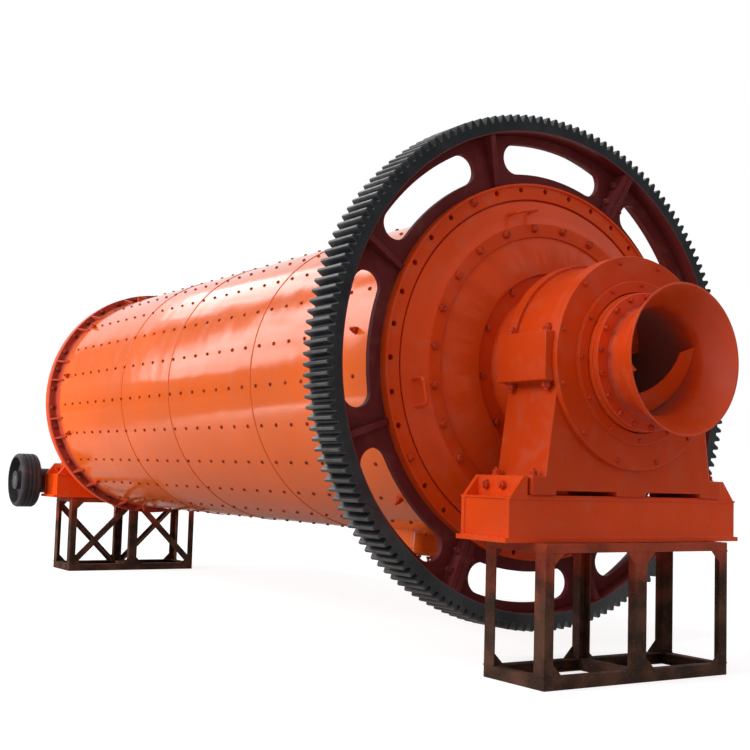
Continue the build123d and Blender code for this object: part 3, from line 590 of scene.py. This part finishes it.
SHELL_ORANGE = (0.740, 0.110, 0.007)
SHELL_CLOUDS = (0.7, 3)
SHELL_THIN = 0.88
SHELL_FULL = 1.03
GRIME_CLOUDS = (5.0, 5, 0.5)
GRIME_SPAN = (0.44, 0.78)
GRIME_COVER = 0.07
STREAK_STRETCH = (9.0, 1.4, 1.4)
STREAKS = (1.0, 4)
STREAK_SPAN = (0.52, 0.80)
STREAK_COVER = 0.08
WAVE_STRETCH = (1.0, 0.75, 0.75)
WAVES = (1.5, 2)
WAVE_HEIGHT = 0.010
SHELL_PEEL = (190.0, 2)
SHELL_PEEL_HEIGHT = 0.00005
FLANGE_RED = (0.390, 0.037, 0.017)
FEED_FLANGE_FACE = -3.442
RED_BAND = 0.165
BAND_SOFT = 0.008
BAND_WANDER = 0.02
# Bare steel inside the shell; in the spout throats the same dark colour is painted shade of the
# deep bore.
BARE_INSIDE_AND_SHADE = (0.290, 0.090, 0.070, 1.0)
SHELL_SKIN = 0.008
SHELL_ROUGH = 0.115
GRIME_DULLS = 0.6
BARE_DULLS = 0.5


def off_axis(place):
    """How far the points of a piece lie from the mill axis."""
    level = place.node("ShaderNodeVectorMath", {"operation": "SUBTRACT"},
                       {"Vector": place, "Vector_001": (0.0, 0.0, axis_z)})
    flat = place.node("ShaderNodeVectorMath", {"operation": "MULTIPLY"},
                      {"Vector": level, "Vector_001": (0.0, 1.0, 1.0)})
    return place.node("ShaderNodeVectorMath", {"operation": "LENGTH"}, {"Vector": flat}, 1)


def stretched(place, stretch):
    """The points of a piece with each coordinate multiplied by its share of the stretch."""
    return place.node("ShaderNodeMapping", {}, {"Vector": place, "Scale": stretch})


def shell_paint():
    """Thick glossy enamel, with a dull red band at the feed flange and a bare inside."""
    material, place = begin_finish("shell_enamel")
    coat = place.noise(*SHELL_CLOUDS).step(*COAT_SPAN)
    cloud = place.noise(*GRIME_CLOUDS)
    streak = stretched(place, STREAK_STRETCH).noise(*STREAKS)
    waves = stretched(place, WAVE_STRETCH).noise(*WAVES)
    colour = coat.tint(shade(SHELL_ORANGE, SHELL_THIN), shade(SHELL_ORANGE, SHELL_FULL))
    grime = cloud.step(*GRIME_SPAN) * GRIME_COVER + streak.step(*STREAK_SPAN) * STREAK_COVER
    colour = grime.tint(colour, DUST)
    edge = place.axis("X") + cloud.centred() * BAND_WANDER
    band_end = FEED_FLANGE_FACE + RED_BAND
    band = 1.0 - edge.step(band_end - BAND_SOFT, band_end)
    colour = band.tint(colour, (*FLANGE_RED, 1.0))
    inside = 1.0 - off_axis(place).step(shell_r - SHELL_SKIN, shell_r - SHELL_SKIN / 2)
    colour = inside.tint(colour, BARE_INSIDE_AND_SHADE)
    rough = SHELL_ROUGH + GRIME_DULLS * grime + BARE_DULLS * band + BARE_DULLS * inside
    relief = waves * WAVE_HEIGHT + place.noise(*SHELL_PEEL) * SHELL_PEEL_HEIGHT
    return end_finish(material, colour, rough, relief)


LINER_DARK = (0.140, 0.017, 0.009, 1.0)
LINER_RED = (0.380, 0.043, 0.014, 1.0)
LINER_GREASE = (24.0, 4)
LINER_GREASE_SPAN = (0.38, 0.66)
LINER_ROUGH = 0.40
LINER_GREASE_DULLS = 0.3
LINER_RELIEF = 0.0005
LINER_SHEEN = 0.2


def liner_bolt_paint():
    """Old red primer and grease on the bolt heads of the liner."""
    material, place = begin_finish("liner_bolts")
    grease = place.noise(*LINER_GREASE)
    colour = grease.step(*LINER_GREASE_SPAN).tint(LINER_DARK, LINER_RED)
    return end_finish(material, colour, LINER_ROUGH + LINER_GREASE_DULLS * grease,
                      grease * LINER_RELIEF, 0.0, LINER_SHEEN)


shell_low, shell_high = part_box("shell")
shell_r = (shell_high[1] - shell_low[1]) / 2
shell_finish = shell_paint()
liner_finish = liner_bolt_paint()
frame["nodes"]["shell"].data.materials.clear()
frame["nodes"]["shell"].data.materials.append(shell_finish)


def on_shell(x, turn):
    """A point on the shell at that angle, and the way it faces."""
    facing = Vector((0.0, cos(turn), sin(turn)))
    return Vector((x, 0.0, axis_z)) + facing * shell_r, facing


LINER_BOLT = (0.023, 0.009, 0.002, 0.0)
LINER_PLUG = (0.044, 0.030, 0.004, 0.052)
LINER_ROWS = 24
LINER_FIRST = 4.2
LINER_PITCH = 0.2426
LINER_START_X = 0.560
LINER_CLEAR = 0.250
PLUG_EVERY = 2
GEAR_BACK = 3.317
liner_seats, plug_seats = [], []
liner_low = FEED_FLANGE_FACE + LINER_CLEAR
liner_high = GEAR_BACK - LINER_CLEAR
first_column = int((liner_low - LINER_START_X) / LINER_PITCH)
last_column = int((liner_high - LINER_START_X) / LINER_PITCH)
for row in range(LINER_ROWS):
    turn = radians(LINER_FIRST + row * 360.0 / LINER_ROWS)
    for column in range(first_column, last_column + 1):
        long_nut = row % PLUG_EVERY == 1 and column in (first_column, last_column)
        seats = plug_seats if long_nut else liner_seats
        seats.append(on_shell(LINER_START_X + column * LINER_PITCH, turn))
set_bolts("liner_bolts", liner_seats, LINER_BOLT, liner_finish, "drum")
set_bolts("liner_plugs", plug_seats, LINER_PLUG, bolt_finish, "drum")

SEAM_X = (1.430, -0.213, -1.385)
SEAM_RADIUS = 0.0055
SEAM_STEPS = 180
PLATE_SEAM_RADIUS = 0.0032
PLATE_SEAM_ANGLES = (75.0, 25.0, 50.0, 335.0)


def round_shell(x):
    """A closed line round the shell at that place along it."""
    return [on_shell(x, tau * (i % SEAM_STEPS) / SEAM_STEPS)[0] for i in range(SEAM_STEPS + 1)]


lay_welds("shell_seams", [round_shell(x) for x in SEAM_X], SEAM_RADIUS, shell_finish,
          "drum")
course_ends = sorted((*SEAM_X, shell_low[0] + SEAM_RADIUS, shell_high[0] - SEAM_RADIUS))
plate_seams = [[on_shell(x, radians(angle))[0] for x in course]
               for angle, course in zip(PLATE_SEAM_ANGLES, zip(course_ends, course_ends[1:]))]
lay_welds("plate_seams", plate_seams, PLATE_SEAM_RADIUS, shell_finish, "drum")


# Shell flanges: flat rings welded round both ends of the shell, where the heads are bolted on.
# The feed one is stiffened by pairs of small gussets. Dull red primer, with dark nuts between.

FLANGE_EDGE = 0.003
GUSSET_EDGE = 0.0015
FLANGE_GLOSS = 0.42
FLANGE_SWELL = 0.0012
FLANGE_SHEEN = 0.12
FLANGE_WELD = 0.007
FEED_NUT = (0.041, 0.028, 0.005, 0.040)
FEED_NUTS = 36
FEED_NUT_R = 1.256
FEED_NUT_FIRST = 5.0
flange_finish = enamel("flange_primer", FLANGE_RED, FLANGE_GLOSS, FLANGE_SWELL, FLANGE_SHEEN)
ease_edges("discharge_shell_flange", FLANGE_EDGE, flange_finish)
ease_edges("feed_shell_flange", FLANGE_EDGE, flange_finish)
ease_edges("feed_flange_gussets", GUSSET_EDGE, flange_finish)
feed_nuts = [(point, (1, 0, 0)) for point, facing in
             round_axis(FEED_NUT_R, FEED_NUTS, FEED_NUT_FIRST, -FEED_FLANGE_FACE, -1)]
set_bolts("feed_flange_nuts", feed_nuts, FEED_NUT, liner_finish, "drum")
discharge_flange_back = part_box("discharge_shell_flange")[0][0]
flange_lines = [round_shell(discharge_flange_back), round_shell(FEED_FLANGE_FACE)]
lay_welds("flange_welds", flange_lines, FLANGE_WELD, flange_finish, "drum")


# Manhole: a welded frame and a bolted cover low on the shell, for changing the liners.
# Orange enamel like the shell, with a ring of bolts in the cover and a weld round the frame.

MANHOLE_EDGE = 0.004
ease_edges("manhole_frame", MANHOLE_EDGE, shell_finish)
ease_edges("manhole_cover", MANHOLE_EDGE, shell_finish)
cover_points = [v.co.copy() for v in frame["nodes"]["manhole_cover"].data.vertices]
cover_middle = sum(cover_points, Vector()) / len(cover_points)
cover_out = Vector((0.0, cover_middle.y, cover_middle.z - axis_z)).normalized()
cover_along = Vector((1.0, 0.0, 0.0))
cover_across = cover_out.cross(cover_along)
cover_low, cover_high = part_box("manhole_cover")
cover_x = (cover_low[0] + cover_high[0]) / 2
cover_half_x = (cover_high[0] - cover_low[0]) / 2
cover_half_y = max((p - cover_middle).dot(cover_across) for p in cover_points)
cover_level = max((p - cover_middle).dot(cover_out) for p in cover_points)
COVER_BOLT = (0.030, 0.018, 0.004, 0.030)
COVER_BOLTS = 12
COVER_BOLT_SHARE = 0.86
COVER_ROUNDING = 0.76
cover_seats = []
for i in range(COVER_BOLTS):
    turn = tau * (i + 0.5) / COVER_BOLTS
    reach = COVER_BOLT_SHARE / max(abs(cos(turn)), abs(sin(turn)), COVER_ROUNDING)
    cover_seats.append((Vector((cover_x, cover_middle.y, cover_middle.z))
                        + cover_along * cos(turn) * reach * cover_half_x
                        + cover_across * sin(turn) * reach * cover_half_y
                        + cover_out * cover_level, cover_out))
set_bolts("manhole_bolts", cover_seats, COVER_BOLT, liner_finish, "drum")
MANHOLE_CORNER = 0.090
MANHOLE_WELD = 0.006
MANHOLE_CORNER_STEPS = 6
frame_weld = []
for quarter, (x_side, y_side) in enumerate(((1, 1), (-1, 1), (-1, -1), (1, -1))):
    for i in range(MANHOLE_CORNER_STEPS + 1):
        turn = tau / 4 * (quarter + i / MANHOLE_CORNER_STEPS)
        along = x_side * (cover_half_x - MANHOLE_CORNER) + MANHOLE_CORNER * cos(turn)
        aside = y_side * (cover_half_y - MANHOLE_CORNER) + MANHOLE_CORNER * sin(turn)
        frame_weld.append(Vector((cover_x + along, 0.0, axis_z)) + cover_across * aside
                          + cover_out * sqrt(shell_r ** 2 - aside ** 2))
lay_welds("manhole_weld", [frame_weld + frame_weld[:1]], MANHOLE_WELD, shell_finish,
          "drum")


# Girth gear: a cast rim with cut involute teeth, on a spoked web that is bolted up in two halves.
# The rim is black and oily with lighter rubbed teeth; web, ribs and joint plates are dull maroon.

RIM_EDGE = 0.0022
WEB_EDGE = 0.004
RIB_EDGE = 0.003
JOINT_EDGE = 0.004
GEAR_PITCH_R = 1.782
GEAR_TIP_R = 1.804
RIM_BORE_R = 1.6845
RIM_PAINT_EDGE = 0.012
GEAR_BLACK = (0.008, 0.011, 0.014, 1.0)
GEAR_OIL = (0.018, 0.021, 0.024, 1.0)
GEAR_RUBBED = (0.072, 0.068, 0.067, 1.0)
GEAR_MAROON = (0.140, 0.018, 0.019)
OIL_CLOUDS = (7.0, 5)
OIL_SPAN = (0.38, 0.66)
RUB_SPAN = (0.3, 0.6)
RUB_LEAST = 0.4
RUB_MORE = 0.6
GEAR_GRAIN = (90.0, 3)
GEAR_ROUGH = 0.28
GRAIN_DULLS = 0.2
RUB_SMOOTHS = 0.06
GEAR_RELIEF = 0.0003


def oiled_gear():
    """Black cast steel with an oil film; the teeth are lighter where they are cut and rubbed."""
    material, place = begin_finish("oiled_gear_steel")
    radius = off_axis(place)
    oil = place.noise(*OIL_CLOUDS)
    grain = place.noise(*GEAR_GRAIN)
    colour = oil.step(*OIL_SPAN).tint(GEAR_BLACK, GEAR_OIL)
    wear = RUB_LEAST + RUB_MORE * oil.step(*RUB_SPAN)
    rubbed = radius.step(GEAR_PITCH_R, GEAR_TIP_R) * wear
    colour = rubbed.tint(colour, GEAR_RUBBED)
    ragged = radius + oil.centred() * RIM_PAINT_EDGE
    painted = 1.0 - ragged.step(RIM_BORE_R, RIM_BORE_R + RIM_PAINT_EDGE)
    colour = painted.tint(colour, (*GEAR_MAROON, 1.0))
    rough = GEAR_ROUGH + GRAIN_DULLS * grain - RUB_SMOOTHS * rubbed
    return end_finish(material, colour, rough, grain * GEAR_RELIEF)


def spoke(angle):
    """The way outward from the mill axis at that angle, and the way round it."""
    outward = Vector((0.0, cos(radians(angle)), sin(radians(angle))))
    return outward, Vector((0.0, -outward.z, outward.y))


WEB_GLOSS = 0.54
WEB_SWELL = 0.002
WEB_SHEEN = 0.12
JOINT_BOLT = (0.046, 0.026, 0.005, 0.040)
JOINT_ANGLES = (63.0, 243.0)
JOINT_BOLT_RADII = (1.43, 1.575)
JOINT_BOLT_SHARES = (0.2, 0.8)
JOINT_FACE = 0.046
gear_finish = oiled_gear()
web_finish = enamel("gear_web_maroon", GEAR_MAROON, WEB_GLOSS, WEB_SWELL, WEB_SHEEN)
ease_edges("girth_gear_rim", RIM_EDGE, gear_finish)
ease_edges("girth_gear_web", WEB_EDGE, web_finish)
ease_edges("girth_gear_ribs", RIB_EDGE, web_finish)
ease_edges("girth_gear_joints", JOINT_EDGE, web_finish)
joint_low, joint_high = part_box("girth_gear_joints")
joint_seats = []
for angle in JOINT_ANGLES:
    outward, around = spoke(angle)
    for radius in JOINT_BOLT_RADII:
        for share in JOINT_BOLT_SHARES:
            joint_x = joint_low[0] + share * (joint_high[0] - joint_low[0])
            for side in (-1, 1):
                joint_seats.append((Vector((joint_x, 0.0, axis_z)) + outward * radius
                                    + around * side * JOINT_FACE, around * side))
set_bolts("gear_joint_bolts", joint_seats, JOINT_BOLT, web_finish, "drum")


# Drum heads: dished castings with an outer flange, a raised bolt ring and a hub.
# Orange enamel. The ring has all its bolts; most holes of the flange stand empty.
# Two bent rods are welded to the discharge head as lifting handles.

HEAD_EDGE = 0.003
HEAD_ORANGE = (0.770, 0.068, 0.008)
HEAD_GLOSS = 0.28
HEAD_SWELL = 0.0030
RING_BOLT = (0.046, 0.027, 0.005, 0.0)
RING_BOLTS = 24
RING_BOLT_R = 0.998
RING_BOLT_FIRST = 9.5
RING_FACE = 3.627
FLANGE_BOLT = (0.046, 0.027, 0.005, 0.034)
FLANGE_BOLT_R = 1.283
FLANGE_BOLT_ANGLES = (120.0, 210.0, 250.0)
FLANGE_FACE = 3.552
head_finish = enamel("head_enamel", HEAD_ORANGE, HEAD_GLOSS, HEAD_SWELL)
for end, sign in ends.items():
    true_turning(ease_edges(f"{end}_head", HEAD_EDGE, head_finish))
    ring_seats = round_axis(RING_BOLT_R, RING_BOLTS, RING_BOLT_FIRST, RING_FACE, sign)
    set_bolts(f"{end}_ring_bolts", ring_seats, RING_BOLT, bolt_finish, "drum")
flange_seats = [round_axis(FLANGE_BOLT_R, 1, angle, FLANGE_FACE, 1)[0]
                for angle in FLANGE_BOLT_ANGLES]
set_bolts("flange_bolts", flange_seats, FLANGE_BOLT, bolt_finish, "drum")
frame["nodes"]["lifting_handles"].data.materials.clear()
frame["nodes"]["lifting_handles"].data.materials.append(head_finish)
HANDLE_R = 1.1204
HANDLE_ANGLES = (191.0, 103.5)
HANDLE_HALF_SPAN = 0.090
HANDLE_ROD_R = 0.0145
HANDLE_FOOT_X = 3.571
HANDLE_WELD = 0.005
CONE_SLOPE = 0.317
FOOT_STEPS = 16
handle_welds = []
for angle in HANDLE_ANGLES:
    outward, around = spoke(angle)
    uphill = outward + Vector((-CONE_SLOPE, 0.0, 0.0))
    for side in (-1, 1):
        foot = (Vector((HANDLE_FOOT_X, 0.0, axis_z)) + outward * HANDLE_R
                + around * side * HANDLE_HALF_SPAN)
        turns = [tau * (i % FOOT_STEPS) / FOOT_STEPS for i in range(FOOT_STEPS + 1)]
        handle_welds.append([foot + (uphill * cos(t) + around * sin(t)) * HANDLE_ROD_R
                             for t in turns])
lay_welds("handle_welds", handle_welds, HANDLE_WELD, head_finish, "drum")


# Trunnions: hollow journals with a flange that is spigoted into the head's hub.
# Orange enamel outside the bearings, with a circle of bolts sunk inside the hub's lip.

TRUNNION_EDGE = 0.003
HUB_BOLT = (0.038, 0.022, 0.004, 0.0)
HUB_BOLTS = 12
HUB_BOLT_R = 0.631
HUB_BOLT_FIRST = 7.5
HUB_FACE = 3.668
for end, sign in ends.items():
    true_turning(ease_edges(f"{end}_trunnion", TRUNNION_EDGE, head_finish))
    hub_seats = round_axis(HUB_BOLT_R, HUB_BOLTS, HUB_BOLT_FIRST, HUB_FACE, sign)
    set_bolts(f"{end}_hub_bolts", hub_seats, HUB_BOLT, bolt_finish, "drum")


# Spouts: spun funnels bolted to the ends of the trunnions, with two spiral vanes that move the ore.
# Orange enamel that darkens inside the throat: painted shade of the deep bore, with some grime
# where the material passes.

SPOUT_EDGE = 0.003
VANE_EDGE = 0.002
SPOUT_BOLT = (0.032, 0.018, 0.004, 0.0)
SPOUT_BOLTS = 18
SPOUT_BOLT_R = 0.416
SPOUT_BOLT_FIRST = 13.5
SPOUT_FACE = 4.578
THROAT_X = 4.672
THROAT_R = 0.358
THROAT_FADE = 0.22
THROAT_SOFT = 0.004
THROAT_WANDER = 0.12
THROAT_SHADE_AND_GRIME_COVER = 0.95
SPOUT_CLOUDS = (1.6, 3)
SPOUT_COAT_SPAN = (0.34, 0.66)
SPOUT_THIN = 0.84
SPOUT_FULL = 1.02
SMEARS = (9.0, 5, 0.6)
SMEAR_SPAN = (0.44, 0.80)
SMEAR_COVER = 0.16
SPOUT_ROUGH = 0.30
SMEAR_DULLS = 0.3
THROAT_DULLS = 0.2
SMEAR_RELIEF = 0.0008
COAT_RELIEF = 0.001
SPOUT_SHEEN = 0.32


def spout_paint():
    """Orange enamel that darkens from the throat inwards, inside the tube: painted shade of the
    deep bore, with some grime.
    """
    material, place = begin_finish("spout_enamel")
    coat = place.noise(*SPOUT_CLOUDS)
    smear = place.noise(*SMEARS)
    colour = coat.step(*SPOUT_COAT_SPAN).tint(shade(HEAD_ORANGE, SPOUT_THIN),
                                              shade(HEAD_ORANGE, SPOUT_FULL))
    colour = (smear.step(*SMEAR_SPAN) * SMEAR_COVER).tint(colour, DUST)
    along = place.axis("X")
    depth = along.math("ABSOLUTE", along, 0.0) + smear.centred() * THROAT_WANDER
    # Painted shade: the bore grows dark from the throat inwards, standing in for the shade deep
    # inside it, mixed with some grime.
    deep = 1.0 - depth.step(THROAT_X - THROAT_FADE, THROAT_X)
    inside = 1.0 - off_axis(place).step(THROAT_R, THROAT_R + THROAT_SOFT)
    grime = deep * inside
    colour = (grime * THROAT_SHADE_AND_GRIME_COVER).tint(colour, BARE_INSIDE_AND_SHADE)
    rough = SPOUT_ROUGH + SMEAR_DULLS * smear.step(*DULL_SPAN) + THROAT_DULLS * grime
    relief = smear * SMEAR_RELIEF + coat * COAT_RELIEF
    return end_finish(material, colour, rough, relief, 0.0, SPOUT_SHEEN)


spout_finish = spout_paint()
for end, sign in ends.items():
    true_turning(ease_edges(f"{end}_spout", SPOUT_EDGE, spout_finish))
    ease_edges(f"{end}_spiral", VANE_EDGE, head_finish)
    spout_seats = round_axis(SPOUT_BOLT_R, SPOUT_BOLTS, SPOUT_BOLT_FIRST, SPOUT_FACE, sign)
    set_bolts(f"{end}_spout_bolts", spout_seats, SPOUT_BOLT, bolt_finish, "drum")


# Belt pulley: a cast wheel on a short shaft, held by a bracket at the side of the feed base.
# Worn black paint over iron, with a bare steel shaft.

PULLEY_EDGE = 0.004
SHAFT_EDGE = 0.002
PULLEY_BLACK = (0.038, 0.039, 0.043)
PULLEY_GLOSS = 0.44
PULLEY_SWELL = 0.001
SHAFT_GREY = (0.300, 0.285, 0.270)
SHAFT_STAINED = 0.45
SHAFT_STAINS = (18.0, 4)
STAIN_SPAN = (0.4, 0.7)
SHAFT_ROUGH = 0.28
STAIN_DULLS = 0.3
STAIN_RELIEF = 0.0002
SHAFT_METAL = 0.85


def machined_steel():
    """Turned shaft steel, bright with a little brown stain."""
    material, place = begin_finish("machined_shaft")
    stain = place.noise(*SHAFT_STAINS)
    colour = stain.step(*STAIN_SPAN).tint((*SHAFT_GREY, 1.0), shade(SHAFT_GREY, SHAFT_STAINED))
    return end_finish(material, colour, SHAFT_ROUGH + STAIN_DULLS * stain, stain * STAIN_RELIEF,
                      SHAFT_METAL)


pulley_finish = enamel("pulley_black", PULLEY_BLACK, PULLEY_GLOSS, PULLEY_SWELL)
ease_edges("drive_pulley", PULLEY_EDGE, pulley_finish)
ease_edges("pulley_bracket", PULLEY_EDGE, pulley_finish)
ease_edges("pulley_shaft", SHAFT_EDGE, machined_steel())


# Studio: a pale floor and a white surround, a large soft lamp high on the left and a small one
# low at the feed end. Cards that only glossy surfaces see shape what the enamel mirrors.
# The camera stands where the photograph was taken, about eye level of a person crouching.

WHITE = (1.0, 1.0, 1.0, 1.0)
BLACK = (0.0, 0.0, 0.0, 1.0)
FLOOR_SIZE = 160.0
FLOOR_PALE = (0.44, 0.44, 0.44, 1.0)
FLOOR_GLOW = 0.74
FLOOR_ROUGH = 0.9
FLOOR_CLOUDS = (0.6, 2)
FLOOR_CLOUDING = 0.03

floor_mesh = bpy.data.meshes.new("studio_floor")
half = FLOOR_SIZE / 2
floor_corners = [(-half, -half, 0), (half, -half, 0), (half, half, 0), (-half, half, 0)]
floor_mesh.from_pydata(floor_corners, [], [(0, 1, 2, 3)])
floor = bpy.data.objects.new("studio_floor", floor_mesh)
bpy.context.collection.objects.link(floor)


def seen_directly(tree):
    """1 for rays that show the surround itself: from the camera, off gloss or through glass."""
    rays = tree.nodes.new("ShaderNodeLightPath")
    return (Wire(tree, rays.outputs["Is Camera Ray"]) + Wire(tree, rays.outputs["Is Glossy Ray"])
            + Wire(tree, rays.outputs["Is Transmission Ray"]))


floor_finish, floor_place = begin_finish("studio_floor")
floor_shader = floor_finish.node_tree.nodes["Principled BSDF"]
floor_shader.inputs["Roughness"].default_value = FLOOR_ROUGH
floor_shader.inputs["Emission Strength"].default_value = FLOOR_GLOW
floor_tone = (floor_place.noise(*FLOOR_CLOUDS) * FLOOR_CLOUDING).tint(FLOOR_PALE, WHITE)
floor_glow = seen_directly(floor_finish.node_tree).tint(BLACK, WHITE)
floor_finish.node_tree.links.new(floor_tone.socket, floor_shader.inputs["Base Color"])
floor_finish.node_tree.links.new(floor_glow.socket, floor_shader.inputs["Emission Color"])
floor_mesh.materials.append(floor_finish)

CARD_CLOUDS = (0.3, 2)
CARD_CLOUDING = 0.05
CARD_SPAN = (0.28, 0.60)
CARD_DIM = (0.4, 0.4, 0.4, 1.0)


def hang_card(name, corners, colour, glow):
    """A flat card that only glossy surfaces see, to shape what they mirror."""
    card_mesh = bpy.data.meshes.new(name)
    card_mesh.from_pydata(corners, [], [tuple(range(len(corners)))])
    card_finish, card_place = begin_finish(name)
    card_shader = card_finish.node_tree.nodes["Principled BSDF"]
    cloud = card_place.noise(*CARD_CLOUDS)
    card_tone = (cloud * CARD_CLOUDING).tint(colour, WHITE)
    card_glow = cloud.step(*CARD_SPAN).tint(CARD_DIM, WHITE)
    card_finish.node_tree.links.new(card_tone.socket, card_shader.inputs["Base Color"])
    card_finish.node_tree.links.new(card_glow.socket, card_shader.inputs["Emission Color"])
    card_shader.inputs["Roughness"].default_value = 1.0
    card_shader.inputs["Specular IOR Level"].default_value = 0.0
    card_shader.inputs["Emission Strength"].default_value = glow
    card_mesh.materials.append(card_finish)
    card = bpy.data.objects.new(name, card_mesh)
    bpy.context.collection.objects.link(card)
    card.visible_camera = False
    card.visible_diffuse = False
    card.visible_shadow = False


def around_card(first_span, second_span):
    """The four corners of a rectangle over two spans, in order round it."""
    return [(a, b) for b, run in zip(second_span, (first_span, first_span[::-1])) for a in run]


DRAPE_X = 17.0
DRAPE_Y = (-35.0, 35.0)
DRAPE_Z = (0.0, 15.0)
DRAPE_GREY = (0.030, 0.030, 0.030, 1.0)
DRAPE_GLOW = 0.12
SPOUT_CARD_X = (6.5, 9.5)
SPOUT_CARD_Y = -16.0
SPOUT_CARD_Z = (0.6, 4.6)
SPOUT_GLOW = 4.5
FLAG_X = -30.0
FLAG_Y = (-70.0, -4.6)
FLAG_Z = (0.0, 30.0)
FLAG_GLOW = 0.24
CARD_X = -29.8
UPPER_CARD = ((-3.5, 15.7), (5.0, 15.7), (5.0, 28.0), (-3.5, 28.0))
SIDE_CARD = ((-13.0, 5.2), (-11.4, 10.5), (-10.6, 14.5), (-8.6, 19.5), (-8.2, 28.0), (-19.0, 28.0),
             (-19.0, 9.5), (-16.5, 6.5))
CARD_GLOW = 3.7
CLOTH_X = (-29.0, 3.2)
CLOTH_Y = (-30.0, 2.5)
CLOTH_Z = 0.002
CLOTH_GREY = (0.360, 0.340, 0.320, 1.0)
hang_card("drape_behind_camera", [(DRAPE_X, y, z) for y, z in around_card(DRAPE_Y, DRAPE_Z)],
          DRAPE_GREY, DRAPE_GLOW)
hang_card("spout_card",
          [(x, SPOUT_CARD_Y, z) for x, z in around_card(SPOUT_CARD_X, SPOUT_CARD_Z)],
          DRAPE_GREY, SPOUT_GLOW)
hang_card("grey_flag", [(FLAG_X, y, z) for y, z in around_card(FLAG_Y, FLAG_Z)],
          DRAPE_GREY, FLAG_GLOW)
for card_name, card_outline in (("upper_card", UPPER_CARD), ("side_card", SIDE_CARD)):
    hang_card(card_name, [(CARD_X, y, z) for y, z in card_outline], DRAPE_GREY, CARD_GLOW)
hang_card("floor_cloth", [(x, y, CLOTH_Z) for x, y in around_card(CLOTH_X, CLOTH_Y)],
          CLOTH_GREY, 0.0)

SURROUND_LIGHT = 0.62
world = bpy.data.worlds.new("studio_surround")
world.use_nodes = True
surround = world.node_tree.nodes["Background"]
surround.inputs["Color"].default_value = WHITE
direct = seen_directly(world.node_tree)
direct = direct.math("MINIMUM", direct, 1.0)
surround_strength = SURROUND_LIGHT + (1.0 - SURROUND_LIGHT) * direct
world.node_tree.links.new(surround_strength.socket, surround.inputs["Strength"])
bpy.context.scene.world = world

KEY_PLACE = Vector((1.0, -13.0, 9.0))
KEY_AIM = Vector((0.5, 0.0, 1.6))
KEY_SIZE = (13.0, 6.0)
KEY_POWER = 1320.0
FAR_PLACE = Vector((-7.4, -7.2, 1.5))
FAR_AIM = Vector((-4.3, -1.0, 1.1))
FAR_SIZE = (3.0, 2.0)
FAR_POWER = 560.0
for lamp_name, place, aim, size, power, mirrored in (
        ("key_softbox", KEY_PLACE, KEY_AIM, KEY_SIZE, KEY_POWER, True),
        ("far_softbox", FAR_PLACE, FAR_AIM, FAR_SIZE, FAR_POWER, False)):
    lamp = bpy.data.lights.new(lamp_name, "AREA")
    lamp.shape = "RECTANGLE"
    lamp.size, lamp.size_y = size
    lamp.energy = power
    softbox = bpy.data.objects.new(lamp_name, lamp)
    softbox.location = place
    softbox.rotation_euler = (aim - place).to_track_quat("-Z", "Y").to_euler()
    softbox.visible_glossy = mirrored
    bpy.context.collection.objects.link(softbox)

CAMERA_PLACE = Vector((10.0425, -5.5648, 1.2509))
CAMERA_FORWARD = Vector((-0.83881, 0.53829, 0.08146))
CAMERA_ROLL = radians(1.686)
CAMERA_LENS = 57.87
level = CAMERA_FORWARD.cross(Vector((0.0, 0.0, 1.0))).normalized()
rise = level.cross(CAMERA_FORWARD)
right = cos(CAMERA_ROLL) * level + sin(CAMERA_ROLL) * rise
up = cos(CAMERA_ROLL) * rise - sin(CAMERA_ROLL) * level
camera_data = bpy.data.cameras.new("photo_camera")
camera_data.lens = CAMERA_LENS
camera_data.clip_end = FLOOR_SIZE * 2
camera = bpy.data.objects.new("photo_camera", camera_data)
turn = Matrix((right, up, -CAMERA_FORWARD.normalized())).transposed()
camera.matrix_world = Matrix.Translation(CAMERA_PLACE) @ turn.to_4x4()
bpy.context.collection.objects.link(camera)
bpy.context.scene.camera = camera
bpy.context.scene.view_settings.view_transform = "Standard"
